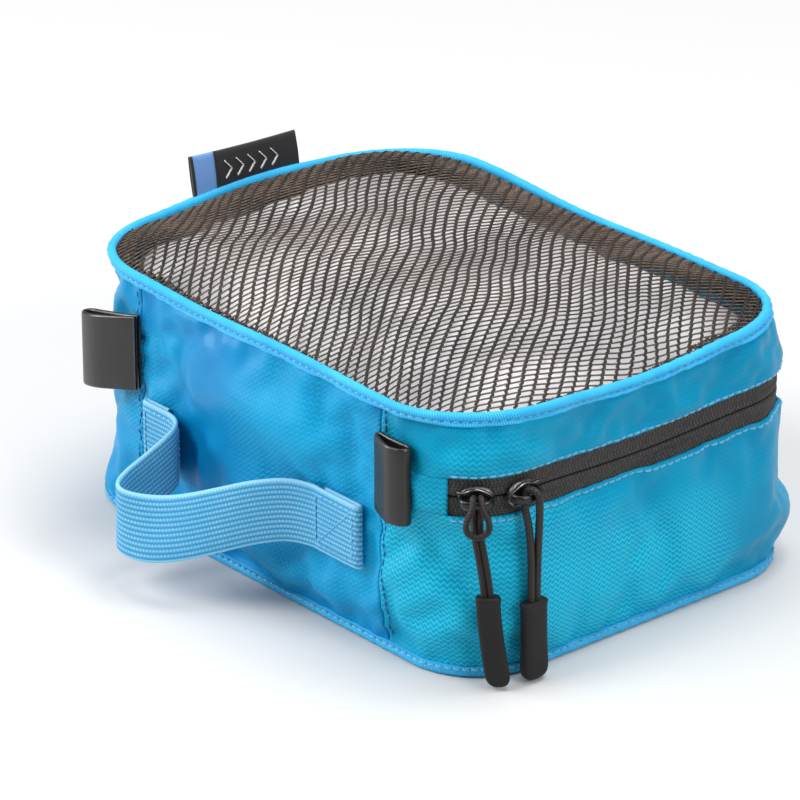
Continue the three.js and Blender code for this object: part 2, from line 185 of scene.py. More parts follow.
def slack(s, z):
    """The simulated drape at places on the wall, as an offset along the normal and a rise."""
    if not SLACK:
        return np.zeros(np.shape(s) + (2,))
    moved = SLACK["moved"]
    rows, columns = moved.shape[:2]
    at_s = ((s + HALF_ROUND) / (2 * HALF_ROUND) * columns) % columns
    at_z = np.clip((z - WALL_FOOT) / (WALL_TOP - WALL_FOOT) * (rows - 1), 0, rows - 1)
    total = np.zeros(np.shape(at_s) + (2,))
    for weight_z, pick_z in zip(*cubic(at_z, rows, False)):
        for weight_s, pick_s in zip(*cubic(at_s, columns, True)):
            total += (weight_z * weight_s)[..., None] * moved[pick_z, pick_s]
    return total


def noise_at(x, y, z):
    """Smooth repeatable noise between -1 and 1, at places given as three arrays or numbers."""
    x, y, z = np.broadcast_arrays(x, y, z)
    return np.array([noise.noise(Vector(place)) for place in zip(x.flat, y.flat, z.flat)]).reshape(x.shape)


def bump_noise(s, z, size, seed):
    """Noise over the wall, with lumps of about the given size."""
    turn = s / HALF_ROUND * math.pi
    radius = HALF_ROUND / math.pi / size
    return noise_at(np.cos(turn) * radius, np.sin(turn) * radius, z / size + seed * 7.3)


def waves(s, size, shift=0.0):
    """A sine along the wall with waves of about the given size and a whole number of them round it."""
    return np.sin(round(2 * HALF_ROUND / size) * math.pi * s / HALF_ROUND + shift)


def wall(s, z, off=0.0):
    """Points on the draped wall, off outside it."""
    s, z, off = np.broadcast_arrays(np.asarray(s, float), np.asarray(z, float), np.asarray(off, float))
    point, normal = outline(s, z)
    lean, rise = sway(s, z)
    drape = slack(s, z)
    out = off + lean + drape[..., 0]
    return np.concatenate([point + normal * out[..., None], (z + rise + drape[..., 1])[..., None]], -1)


def wall_normal(s, z):
    """Outward horizontal normals of the outline, as three numbers."""
    normal = outline(s, z)[1]
    return np.concatenate([normal, np.zeros(normal.shape[:-1] + (1,))], -1)


# ---- making meshes ----
def mesh_piece(name, points, faces, look, uv=None):
    """A mesh object from points in millimetres. uv is one pair for each point, in metres."""
    mesh = bpy.data.meshes.new(name)
    mesh.from_pydata((np.asarray(points, float).reshape(-1, 3) * MM).tolist(), [], faces)
    if uv is not None:
        layer = mesh.uv_layers.new(name="UVMap")
        corners = np.zeros(len(mesh.loops), int)
        mesh.loops.foreach_get("vertex_index", corners)
        layer.data.foreach_set("uv", np.asarray(uv, float).reshape(-1, 2)[corners].ravel())
    mesh.materials.append(MATERIALS[look])
    mesh.polygons.foreach_set("use_smooth", [True] * len(mesh.polygons))
    mesh.update()
    piece = bpy.data.objects.new(name, mesh)
    bpy.context.scene.collection.objects.link(piece)
    return piece


def grid_faces(rows, columns, wrap=False):
    """Quads of a grid of points, row by row. wrap joins its last column to its first."""
    faces = []
    for row in range(rows - 1):
        for at in range(columns if wrap else columns - 1):
            a, b = row * columns + at, row * columns + (at + 1) % columns
            faces.append((a, b, b + columns, a + columns))
    return faces


def turned_over(faces, start=0):
    """The same faces seen from their other side, counted on from a starting point."""
    return [tuple(start + corner for corner in reversed(face)) for face in faces]


def ring_faces(rings, sides):
    """Faces of a closed solid made of rings of points, with both ends capped."""
    last = (rings - 1) * sides
    caps = [tuple(reversed(range(sides))), tuple(range(last, last + sides))]
    return grid_faces(rings, sides, wrap=True) + caps


def section_faces(rows, columns, wrap=False):
    """Faces of a closed section carried along a line, with capped ends unless the line is a ring."""
    last = (rows - 1) * columns
    faces = grid_faces(rows, columns, wrap)
    for at in range(columns if wrap else columns - 1):
        after = (at + 1) % columns
        faces.append((last + at, last + after, after, at))
    if not wrap:
        faces.append(tuple(row * columns for row in reversed(range(rows))))
        faces.append(tuple(row * columns + columns - 1 for row in range(rows)))
    return faces


def apply_modifiers(piece):
    """Bakes the modifiers of a piece into its mesh."""
    graph = bpy.context.evaluated_depsgraph_get()
    mesh = bpy.data.meshes.new_from_object(piece.evaluated_get(graph))
    old = piece.data
    piece.modifiers.clear()
    piece.data = mesh
    bpy.data.meshes.remove(old)


def add_solidify(piece, thickness, offset=-1.0):
    modifier = piece.modifiers.new("thickness", "SOLIDIFY")
    modifier.thickness = thickness * MM
    modifier.offset = offset


def attach(piece, body, slot=None, *nodes):
    """Rides a piece on its body and hides the CAD nodes that it stands for. slot is not used."""
    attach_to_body(piece, body)
    if nodes:
        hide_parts(*nodes)


def bend_with_lid(piece, low, high):
    """Bakes a piece's placement into its mesh; low and high have no effect."""
    low * MM
    high * MM
    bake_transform(piece)


def unit(vectors):
    """Vectors of length 1 with the same directions."""
    return vectors / np.linalg.norm(vectors, axis=-1, keepdims=True)


def lengths_along(path):
    """How far along a path each of its points is."""
    return np.concatenate([[0], np.cumsum(np.linalg.norm(np.diff(path, axis=0), axis=1))])


def at_lengths(at, run, path):
    """A path's points, or vectors that go with them, at some lengths along it."""
    return np.stack([np.interp(at, run, path[:, axis]) for axis in range(3)], -1)


def steady_frames(path):
    """Two directions across a path that turn as little as they can along it."""
    tangent = unit(np.gradient(path, axis=0))
    sides = [unit(np.cross(tangent[0], (0.3, 0.5, 0.81)))]
    for direction in tangent[1:]:
        sides.append(unit(sides[-1] - direction * np.dot(sides[-1], direction)))
    sides = np.array(sides)
    return sides, np.cross(tangent, sides)


def tube_points(path, radius, sides, flat=1.0):
    """Rings of points round a path. radius may change along it."""
    first, second = steady_frames(path)
    radius = np.broadcast_to(np.asarray(radius, float), (len(path),))
    angles = (np.arange(sides) / sides * 2 * math.pi)[None, :, None]
    ring = np.cos(angles) * first[:, None] + flat * np.sin(angles) * second[:, None]
    return path[:, None] + ring * radius[:, None, None]


def tubes_piece(name, paths, radius, sides, look, flat=1.0):
    """Many tubes in one mesh, with u along each tube and v round it."""
    points, faces, uv = [], [], []
    angle = np.arange(sides) / sides * 0.004
    for path in paths:
        faces += turned_over(ring_faces(len(path), sides), sum(map(len, points)))
        points.append(tube_points(path, radius, sides, flat).reshape(-1, 3))
        run = lengths_along(path)[:, None] * MM
        uv.append(np.stack(np.broadcast_arrays(run, angle), -1).reshape(-1, 2))
    return mesh_piece(name, np.concatenate(points), faces, look, np.concatenate(uv))


def smooth_path(route, step):
    """A smooth curve through given points, resampled at an even step."""
    route = np.asarray(route, float)
    padded = np.concatenate([2 * route[:1] - route[1:2], route, 2 * route[-1:] - route[-2:-1]])
    t = np.linspace(0, 1, 24, endpoint=False)[:, None]
    dense = []
    for at in range(len(route) - 1):
        p0, p1, p2, p3 = padded[at:at + 4]
        dense.append(0.5 * (2 * p1 + (p2 - p0) * t + (2 * p0 - 5 * p1 + 4 * p2 - p3) * t**2
                            + (3 * p1 - p0 - 3 * p2 + p3) * t**3))
    dense = np.concatenate(dense + [route[-1:]])
    run = lengths_along(dense)
    return at_lengths(np.linspace(0, run[-1], max(int(round(run[-1] / step)), 2) + 1), run, dense)


def stitch_row(path, normal, pitch=2.7, length=2.1, radius=0.28, sink=0.12):
    """Paths of single stitches along a line on cloth: each dips into the cloth at both ends."""
    run = lengths_along(path)
    bow = np.array([-0.5, 0.45, 0.75, 0.45, -0.5]) * radius - sink
    paths = []
    for start in np.arange(pitch * 0.4, run[-1] - length, pitch):
        at = start + np.linspace(0, length, 5)
        paths.append(at_lengths(at, run, path) + at_lengths(at, run, normal) * bow[:, None])
    return paths


# ---- materials ----
class Value:
    """A number that a material's nodes work out. Arithmetic on it adds Math nodes."""

    def __init__(self, shader, socket):
        self.shader = shader
        self.socket = socket

    def apply(self, operation, *others):
        node = self.shader.node("ShaderNodeMath", operation=operation)
        for socket, value in zip(node.inputs, (self, *others)):
            self.shader.plug(socket, value)
        return Value(self.shader, node.outputs[0])

    def __add__(self, other):
        return self.apply("ADD", other)

    def __sub__(self, other):
        return self.apply("SUBTRACT", other)

    def __mul__(self, other):
        return self.apply("MULTIPLY", other)

    def __truediv__(self, other):
        return self.apply("DIVIDE", other)

    def wave(self, period):
        """A smooth wave from 0 to 1 with that period."""
        return (self * (2 * math.pi / period)).apply("SINE") * 0.5 + 0.5

    def zigzag(self, period):
        """A triangle wave from 0 to 1."""
        return (self / (period / 2)).apply("PINGPONG", 1.0)

    def ramp(self, low, high, to_low=0.0, to_high=1.0):
        """Eases from to_low to to_high while the value goes from low to high."""
        node = self.shader.node("ShaderNodeMapRange", interpolation_type="SMOOTHSTEP")
        inputs = {"Value": self, "From Min": low, "From Max": high, "To Min": to_low, "To Max": to_high}
        for key, value in inputs.items():
            self.shader.plug(node.inputs[key], value)
        return Value(self.shader, node.outputs["Result"])


class Shader:
    """Builds one node material on the Principled shader."""

    def __init__(self, name, roughness, **sockets):
        self.material = bpy.data.materials.new(name)
        self.material.use_nodes = True
        self.surface = self.material.node_tree.nodes["Principled BSDF"]
        self.plug(self.surface.inputs["Roughness"], roughness)
        for socket, value in sockets.items():
            self.plug(self.surface.inputs[socket.replace("_", " ")], value)

    def node(self, kind, **settings):
        made = self.material.node_tree.nodes.new(kind)
        for key, value in settings.items():
            setattr(made, key, value)
        return made

    def plug(self, socket, value):
        """Sets an input to a number or a colour, or links it to a Value."""
        if isinstance(value, Value):
            self.material.node_tree.links.new(value.socket, socket)
        else:
            socket.default_value = (*value, 1.0) if isinstance(value, tuple) else value

    def axes(self, kind):
        """The piece's coordinates of one kind, as separate numbers."""
        split = self.node("ShaderNodeSeparateXYZ")
        self.plug(split.inputs[0], Value(self, self.node("ShaderNodeTexCoord").outputs[kind]))
        return [Value(self, axis) for axis in split.outputs]

    def uv_mm(self):
        """The piece's UVs in millimetres."""
        along, up, _ = self.axes("UV")
        return along * 1000.0, up * 1000.0

    def noise(self, scale, detail):
        """Smooth noise on the piece's own coordinates, from 0 to 1."""
        made = self.node("ShaderNodeTexNoise")
        place = Value(self, self.node("ShaderNodeTexCoord").outputs["Object"])
        for key, value in {"Vector": place, "Scale": scale, "Detail": detail, "Roughness": 0.55}.items():
            self.plug(made.inputs[key], value)
        return Value(self, made.outputs["Fac"])

    def edges(self):
        """How sharply the surface turns: over 0.5 on outer edges."""
        return Value(self, self.node("ShaderNodeNewGeometry").outputs["Pointiness"])

    def mix(self, share, a, b):
        """A colour between a and b."""
        made = self.node("ShaderNodeMix", data_type="RGBA")
        for socket, value in zip((made.inputs["Factor"], made.inputs[6], made.inputs[7]), (share, a, b)):
            self.plug(socket, value)
        return Value(self, made.outputs[2])

    def finish(self, color, height=None, depth=0.1, rough=None):
        """Connects a colour, a bump of that depth in millimetres, and a roughness."""
        self.plug(self.surface.inputs["Base Color"], color)
        if rough is not None:
            self.plug(self.surface.inputs["Roughness"], rough)
        if height is not None:
            bump = self.node("ShaderNodeBump")
            for key, value in {"Strength": 1.0, "Distance": depth * MM, "Height": height}.items():
                self.plug(bump.inputs[key], value)
            self.plug(self.surface.inputs["Normal"], Value(self, bump.outputs["Normal"]))
        return self.material


def dobby_lines(shader):
    """The cloth's small honeycomb weave: two families of zigzag ridges, 1 on a ridge."""
    across, up = shader.uv_mm()
    zig = (across + 400.0).zigzag(2.0) * 0.55
    rows = (up + shader.noise(70.0, 1.0) * 0.5) / 1.6
    first = (rows + zig).apply("PINGPONG", 0.5).ramp(0.10, 0.24, 1.0, 0.0)
    second = (rows - zig).apply("PINGPONG", 0.5).ramp(0.07, 0.18, 0.75, 0.0)
    patch = shader.noise(26.0, 1.0).ramp(0.42, 0.62)
    return first.apply("MAXIMUM", second * patch)


def blue_fabric(name, base, light, dark, pattern, left_painted_shade=None):
    """Coated nylon with a honeycomb dobby weave that shows only where the cloth is stretched.

    Given a colour and its lighter pattern for the left end, the cloth turns to those towards the cube's left
    end: painted shade, darker than the rest."""
    shader = Shader(name, 0.42, Specular_IOR_Level=0.3, Specular_Tint=(0.32, 0.8, 1.0))
    lines = dobby_lines(shader)
    cloud = shader.noise(16.0, 3.0)
    tone = shader.mix(cloud.ramp(0.3, 0.7), dark, base)
    if left_painted_shade:
        # painted shade: towards the cube's left end the cloth turns to the darker given colours
        right = shader.axes("Object")[0].ramp(-0.065, 0.075)
        tone = shader.mix(right, left_painted_shade[0], tone)
        light = shader.mix(right, left_painted_shade[1], light)
    stretched = shader.noise(15.0, 1.5).ramp(0.44, 0.60)
    color = shader.mix(lines * (stretched * pattern + 0.05), tone, light)
    height = shader.noise(2200.0, 1.0) * 0.3 + lines * stretched
    return shader.finish(color, height, 0.12, cloud.ramp(0.3, 0.7, 0.38, 0.52))


YARN = {"Sheen_Weight": 0.06, "Sheen_Roughness": 0.4, "Specular_IOR_Level": 0.35}


def ribbed_webbing(name, base, light, rib, pick):
    """Webbing with warp ribs along it, small picks across and pale selvedges."""
    shader = Shader(name, 0.6, **(YARN | {"Specular_IOR_Level": 0.3}))
    along, up = shader.uv_mm()
    shift = (up / rib).apply("FLOOR") * (pick / 2)
    weave = up.wave(rib) * ((along + shift).wave(pick) * 0.6 + 0.4)
    share = weave * shader.noise(60.0, 2.0).ramp(0.2, 0.8, 0.6, 1.0)
    from_middle = (up - WEBBING / 2).apply("ABSOLUTE")
    selvedge = from_middle.ramp(WEBBING / 2 - 1.1, WEBBING / 2 - 0.5, 0.0, 0.75)
    return shader.finish(shader.mix(share.apply("MAXIMUM", selvedge), base, light), weave, 0.16)


def ribbed_tape(name, base, light, period):
    """Narrow folded tape: fine ribs across, with soft mottling."""
    shader = Shader(name, 0.6, **YARN)
    along, up = shader.uv_mm()
    ribs = (along + up * 0.25).wave(period)
    share = ribs * shader.noise(90.0, 2.0).ramp(0.25, 0.75, 0.35, 1.0)
    return shader.finish(shader.mix(share, base, light), ribs, 0.1)


def satin(name, base, light, row, pick, depth, roughness, **sockets):
    """A smooth woven face with very fine rows and picks."""
    shader = Shader(name, roughness, **sockets)
    along, up = shader.uv_mm()
    weave = up.wave(row) * 0.6 + along.wave(pick) * 0.4
    return shader.finish(shader.mix(weave, base, light), weave, depth)


def herringbone_tape(name, base, light):
    """Zip tape: ribs across it in a herringbone."""
    shader = Shader(name, 0.7, Specular_IOR_Level=0.35)
    along, up = shader.uv_mm()
    ribs = (along + up.zigzag(3.4) * 0.9).wave(1.25)
    weave = up.wave(0.9) * 0.3 + ribs * 0.7
    share = weave * shader.noise(900.0, 2.0).ramp(0.3, 0.7, 0.45, 1.0)
    return shader.finish(shader.mix(share, base, light), weave, 0.2)


def thread(name, base, light, gloss=0.45):
    """Twisted thread: a slanting ply along the tube."""
    shader = Shader(name, gloss, **YARN)
    along, round_it = shader.uv_mm()
    ply = (along + round_it).wave(1.0)
    return shader.finish(shader.mix(ply, base, light), ply, 0.08)


def braid(name, base, light):
    """Braided cord: plies that slant both ways along the tube."""
    shader = Shader(name, 0.45, Specular_IOR_Level=0.3)
    along, round_it = shader.uv_mm()
    plies = (along + round_it).wave(1.0).apply("MAXIMUM", (along - round_it).wave(1.0))
    return shader.finish(shader.mix(plies, base, light), plies, 0.12)


def uneven_yarn(name, dark, light):
    """Polyester yarn, unevenly dyed."""
    shader = Shader(name, 0.65, Specular_IOR_Level=0.3)
    grain = shader.noise(1500.0, 2.0)
    dyed = shader.mix(shader.noise(22.0, 2.0).ramp(0.35, 0.65), dark, light)
    pale = tuple(3 * value for value in light)
    return shader.finish(shader.mix(grain.ramp(0.35, 0.75, 0.0, 0.4), dyed, pale), grain, 0.12)


def painted_metal(name, base, bare_and_glint):
    """Painted die casting with brighter edges: partly paint wear and partly a painted highlight for the
    glints on its edges.
    """
    shader = Shader(name, 0.3, Metallic=0.75, Coat_Weight=0.3, Coat_Roughness=0.2)
    grain = shader.noise(500.0, 3.0)
    # brighter edges: paint wear and a painted highlight for the edge glints
    wear_and_glint = shader.edges().ramp(0.52, 0.60) * grain.ramp(0.4, 0.6, 0.3, 1.0)
    return shader.finish(shader.mix(wear_and_glint, base, bare_and_glint), grain, 0.03, grain.ramp(0.3, 0.7, 0.24, 0.36))


def glint_and_wear_metal(name, dark, bright):
    """The lighter edge line of the slider's bridge: a painted highlight for its glint, with some paint wear.
    """
    shader = Shader(name, 0.28, Metallic=0.9)
    grain = shader.noise(420.0, 3.0)
    return shader.finish(shader.mix(grain.ramp(0.35, 0.65), dark, bright), grain, 0.03)


def moulded_rubber(name, dark, light, rubbed_and_glint):
    """Soft moulding with a fine sandblasted texture and lighter edges: scuffed high spots and a painted
    highlight along the edges.
    """
    shader = Shader(name, 0.55, Specular_IOR_Level=0.25)
    grain = shader.noise(2600.0, 2.0)
    tone = shader.mix(shader.noise(60.0, 2.0), dark, light)
    # lighter edges: scuffs and a painted highlight
    return shader.finish(shader.mix(shader.edges().ramp(0.50, 0.58, 0.0, 0.55), tone, rubbed_and_glint), grain, 0.06)


def tissue(name, shade, white):
    """Soft crumpled paper."""
    shader = Shader(name, 0.85)
    color = shader.mix(shader.noise(24.0, 3.0).ramp(0.3, 0.75), shade, white)
    return shader.finish(color, shader.noise(240.0, 4.0), 0.4)


def make_materials():
    """Every material, by the name that the parts call it."""
    damask = (0.5, 0.45, 0.05, 0.6)
    sheen = {"Sheen_Weight": 0.05, "Sheen_Roughness": 0.4}
    return {
        "front": blue_fabric(
            "front_fabric", (0.0, 0.305, 0.575), (0.06, 0.50, 0.78), (0.0, 0.165, 0.42), 0.16),
        # the side cloth is painted darker towards the cube's left end: painted shade
        "side": blue_fabric(
            "side_fabric", (0.0, 0.315, 0.51), (0.035, 0.63, 0.86), (0.0, 0.205, 0.38), 0.6,
            ((0.0, 0.24, 0.50), (0.03, 0.42, 0.72))),
        "binding": ribbed_tape("binding_tape", (0.003, 0.34, 0.70), (0.06, 0.55, 0.88), 0.8),
        "handle": ribbed_webbing("handle_webbing_weave", (0.015, 0.25, 0.50), (0.29, 0.62, 0.80), 1.55, 1.1),
        "black": satin(
            "loop_webbing_weave", (0.005, 0.005, 0.005), (0.020, 0.019, 0.018), 0.8, 0.7, 0.035, 0.3,
            Specular_IOR_Level=0.45),
        "thread": thread("blue_thread_ply", (0.05, 0.42, 0.74), (0.26, 0.68, 0.92)),
        "dark_thread": thread("navy_thread_ply", (0.003, 0.10, 0.34), (0.01, 0.20, 0.52)),
        "tape": herringbone_tape("zip_tape_weave", (0.012, 0.011, 0.011), (0.075, 0.068, 0.063)),
        "coil": thread("zip_coil_nylon", (0.010, 0.010, 0.010), (0.04, 0.038, 0.036), 0.35),
        # the second colour brightens the sliders' edges: paint wear and a painted highlight
        "metal": painted_metal("slider_paint", (0.020, 0.020, 0.021), (0.33, 0.32, 0.31)),
        # lighter metal for the line along the sliders' crowns: a painted highlight, with some paint wear
        "wear_and_glint": glint_and_wear_metal("slider_glint_and_wear_edge", (0.10, 0.10, 0.10), (0.42, 0.41, 0.40)),
        "cord": braid("pull_cord_braid", (0.004, 0.004, 0.004), (0.028, 0.023, 0.021)),
        # the third colour lightens the grips' edges: scuffs and a painted highlight
        "grip": moulded_rubber("pull_grip_rubber", (0.006, 0.006, 0.006), (0.012, 0.011, 0.011),
                               (0.07, 0.066, 0.062)),
        "label": satin("label_black_weave", (0.006, 0.006, 0.007), (0.022, 0.022, 0.024), *damask, **sheen),
        "stripe": satin("label_stripe_weave", (0.10, 0.24, 0.56), (0.18, 0.36, 0.70), *damask, **sheen),
        "motif": thread("label_white_thread", (0.55, 0.55, 0.56), (0.85, 0.85, 0.85), 0.6),
        "net": uneven_yarn("netting_dark_yarn", (0.010, 0.008, 0.007), (0.026, 0.019, 0.015)),
        # the same yarn as net, painted lighter: a painted sheen on one family of strands
        "net_sheen": uneven_yarn("netting_sheen_yarn", (0.045, 0.034, 0.028), (0.11, 0.082, 0.064)),
        "tissue": tissue("filling_tissue", (0.60, 0.60, 0.63), (0.98, 0.98, 0.98)),
        "floor": Shader("studio_floor", 0.75).finish((0.60, 0.60, 0.60)),
    }


# ---- drape: cloth simulation, gathers and folds ----
SIM_COLUMNS = 150
SIM_ROWS = 24
SIM_FRAMES = 22
DRAPE_LIMIT = 3.2
CLOTH = {
    "quality": 6, "mass": 0.12, "tension_stiffness": 12, "compression_stiffness": 12, "shear_stiffness": 4,
    "bending_stiffness": 0.06, "vertex_group_mass": "pins", "pin_stiffness": 1.0, "shrink_min": -0.035,
    "use_pressure": True, "uniform_pressure_force": 3.0,
}
HANDLE_ENDS = ((-50.5, -30.5), (29.0, 49.0))  # the front seams of the handle's sewn ends
HANDLE_MIDDLE_Z = 35.0


def pin_weights(s, z):
    """How firmly the sewing holds each point of the wall: 1 where it can't move."""
    weight = np.zeros(np.shape(s))
    weight[np.minimum(np.abs(s - SEAM_RIGHT), np.abs(s - SEAM_LEFT)) < 2.2] = 0.75
    weight[(np.abs(s) > ZIP_START - 4) & (z > FOLD_LOW - 1.5) & (z < FOLD_HIGH + 1.5)] = 1.0
    for low, high in HANDLE_ENDS:
        weight[(s > low) & (s < high) & (np.abs(z - HANDLE_MIDDLE_Z) < 10)] = 1.0
    weight[[0, -1]] = 1.0
    return weight


def simulate_wall():
    """Blows the cut cloth out a little between its seams, and keeps how it moved."""
    s_line = (np.arange(SIM_COLUMNS) / SIM_COLUMNS * 2 - 1) * HALF_ROUND
    s, z = np.meshgrid(s_line, np.linspace(WALL_FOOT, WALL_TOP, SIM_ROWS))
    start, normal, weight = wall(s, z), wall_normal(s, z), pin_weights(s, z)
    lumps = 0.9 * bump_noise(s, z, 22, 1) + 0.5 * bump_noise(s, z, 9, 2)
    begin = start + normal * (lumps * (1 - weight))[..., None]
    cloth = mesh_piece("wall_cloth", begin, grid_faces(SIM_ROWS, SIM_COLUMNS, wrap=True), "side")
    group = cloth.vertex_groups.new(name="pins")
    flat = weight.ravel()
    for level in sorted(set(flat[flat > 0])):
        group.add(np.flatnonzero(flat == level).tolist(), float(level), "REPLACE")
    settings = cloth.modifiers.new("cloth", "CLOTH").settings
    for key, value in CLOTH.items():
        setattr(settings, key, value)
    settings.effector_weights.gravity = 0
    for step in range(1, SIM_FRAMES + 1):
        bpy.context.scene.frame_set(step)
    apply_modifiers(cloth)
    bpy.context.scene.frame_set(1)
    moved = np.array([v.co for v in cloth.data.vertices], float).reshape(start.shape) / MM - start
    moved = np.stack([(moved * normal).sum(-1), moved[..., 2]], -1)
    SLACK["moved"] = DRAPE_LIMIT * np.tanh(moved / DRAPE_LIMIT) * (1, 0.5)
    bpy.data.objects.remove(cloth)


# Soft folds laid over the drape: from (s, z) to (s, z), width, and height out of the wall.
FOLDS = [
    ((-53, 74), (-12, 50), 5.5, 1.4), ((-53, 63), (-16, 41), 5.5, -1.3), ((-16, 63), (46, 54), 9.0, 2.2),
    ((-6, 44), (50, 42), 7.0, -1.3), ((-30, 14), (52, 11), 4.5, 1.8), ((-36, 22), (50, 19), 4.5, -1.4),
    ((62, 46), (84, 33), 5.0, -0.9), ((88, 46), (126, 27), 7.0, -1.0), ((96, 45), (150, 40), 7.0, 0.8),
    ((110, 20), (170, 30), 9.0, -0.9), ((66, 14), (92, 22), 7.0, 0.7), ((60, 72), (78, 64), 4.0, -0.9),
    ((210, 10), (230, 24), 6.0, 1.0), ((205, 44), (240, 20), 7.0, -1.0), ((250, 20), (282, 30), 9.0, 0.9),
    ((-60, 44), (-90, 22), 6.0, -1.0), ((-110, 40), (-180, 28), 9.0, 0.9),
    ((-200, 20), (-230, 42), 7.0, -0.9),
]


def folds(s, z):
    """The height of the soft folds at places on the wall."""
    s = wrapped(s)
    total = np.zeros(np.shape(s))
    for (s0, z0), (s1, z1), width, height in FOLDS:
        run = np.array([s1 - s0, z1 - z0], float)
        t = np.clip(((s - s0) * run[0] + (z - z0) * run[1]) / (run @ run), 0, 1)
        away = np.hypot(s - s0 - t * run[0], z - z0 - t * run[1])
        total += height * hump(away, 0, width) * (0.35 + 0.65 * np.sin(t * math.pi))
    return total


def zip_zone(s):
    """1 along the zip, 0 in front of its ends."""
    return ease((np.abs(wrapped(s)) - ZIP_START) / 3.0)


def from_zip(z):
    """How far a height is from the zip's nearer folded edge."""
    return np.minimum(np.abs(z - FOLD_LOW), np.abs(z - FOLD_HIGH))


def gathers(s, z):
    """Fine puckers where the stitching pulls the cloth in."""
    drift = bump_noise(s, z * 0.2, 16, 5)
    along = waves(s, 6.3, 3.2 * drift) * (0.6 + 0.7 * bump_noise(s, z * 0.2, 30, 6))
    total = 0.50 * along * np.exp(-np.abs(z - WALL_FOOT) / 5.0)
    total += 0.42 * along * np.exp(-np.abs(z - WALL_TOP) / 4.5)
    total += 0.24 * along * np.exp(-from_zip(z) / 4.0) * zip_zone(s)
    seam = np.minimum(np.abs(wrapped(s) - SEAM_RIGHT), np.abs(wrapped(s) - SEAM_LEFT))
    up = np.sin(2 * math.pi * z / 6.8 + 3.0 * bump_noise(s * 0.3, z, 14, 7))
    return total + 0.22 * up * np.exp(-seam / 4.5)


def calm(s, z):
    """How much a place may be folded: 0 at sewn lines and under the handle's ends, 1 in open cloth."""
    from_edge = np.minimum(np.abs(z - WALL_FOOT), np.abs(WALL_TOP - z))
    off_zip = np.where((z > FOLD_LOW) & (z < FOLD_HIGH), 0.0, from_zip(z))
    near_zip = 1 - (1 - np.clip(off_zip / 5.0, 0, 1)) * zip_zone(s)
    free = np.clip(from_edge / 6.0, 0, 1) * near_zip
    s = wrapped(s)
    for low, high in HANDLE_ENDS:
        aside = np.maximum(np.maximum(low - s, s - high), np.abs(z - HANDLE_MIDDLE_Z) - 10)
        free = free * np.clip(aside / 5.0, 0, 1)
    return free


def edge_line(low, high, step, fine=0.55, reach=2.2):
    """Coordinates from low to high: fine near both ends, then at about the given step."""
    ends = np.arange(0, reach, fine)
    count = max(int(round((high - low - 2 * reach) / step)), 1)
    middle = np.linspace(low + reach, high - reach, count + 1)
    return np.concatenate([low + ends, middle, (high - ends)[::-1]])


def seam_roll(distance, depth=0.42, reach=1.1):
    """How far cloth turns in at its sewn edge."""
    return -depth * np.clip(1 - distance / reach, 0, 1) ** 2


PULL_ROOM = 3.1  # how far the right side may bulge, so that pull b slides past it
PULL_SOFT = 0.3


def cloth_points(s, z):
    """The finished outer face of the fabric."""
    extra = folds(s, z) * calm(s, z) + gathers(s, z)
    points = wall(s, z) + wall_normal(s, z) * extra[..., None]
    room = HALF_X + PULL_ROOM
    points[..., 0] = room - PULL_SOFT * np.log1p(np.exp((room - points[..., 0]) / PULL_SOFT))
    return points


def wall_piece(name, s_line, z_line, look, rolls):
    """A fabric panel. rolls(s, z) says how far its sewn edges turn in."""
    s, z = np.meshgrid(s_line, z_line)
    points = cloth_points(s, z) + wall_normal(s, z) * rolls(s, z)[..., None]
    piece = mesh_piece(name, points, grid_faces(*s.shape), look, np.stack([s, z], -1) * MM)
    add_solidify(piece, 0.65)
    return piece


def side_roll(low, high):
    """Rolls for a panel that only turns in at its two ends."""
    return lambda s, z: seam_roll(np.minimum(s - low, high - s))


def make_walls():
    """The front panel, both gussets and the tabs over the zip's ends."""
    gusset = (SEAM_RIGHT + 0.02, 2 * HALF_ROUND + SEAM_LEFT - 0.02)
    front = (SEAM_LEFT + 0.02, SEAM_RIGHT - 0.02)

    def gusset_piece(name, body, z_line, fold):
        def rolls(s, z):
            return side_roll(*gusset)(s, z) + seam_roll(np.abs(z - fold), 0.7, 1.2) * zip_zone(s)
        piece = wall_piece(f"{name}_gusset_fabric", edge_line(*gusset, 2.0), z_line, "side", rolls)
        attach(piece, body, "blue_fabric", f"{name}_gusset")

    gusset_piece("lower", "base", edge_line(WALL_FOOT, FOLD_LOW, 2.0), FOLD_LOW)
    gusset_piece("upper", "lid", edge_line(FOLD_HIGH, WALL_TOP, 1.6), FOLD_HIGH)
    panel = wall_piece("front_panel_fabric", edge_line(*front, 2.0), edge_line(WALL_FOOT, WALL_TOP, 1.6),
                       "front", side_roll(*front))
    bend_with_lid(panel, ZIP_Z - 4, ZIP_Z + 4)
    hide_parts("front_panel_lower", "front_panel_upper")
    ends = {"right": (SEAM_RIGHT + 0.02, ZIP_START + 1), "left": (-ZIP_START - 1, SEAM_LEFT - 0.02)}
    for side, span in ends.items():
        tab = wall_piece(f"zip_end_tab_{side}_fabric", edge_line(*span, 2.0),
                         np.linspace(FOLD_LOW, FOLD_HIGH, 9), "side", side_roll(*span))
        bend_with_lid(tab, FOLD_LOW, FOLD_HIGH)
        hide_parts(f"zip_end_tab_{side}")


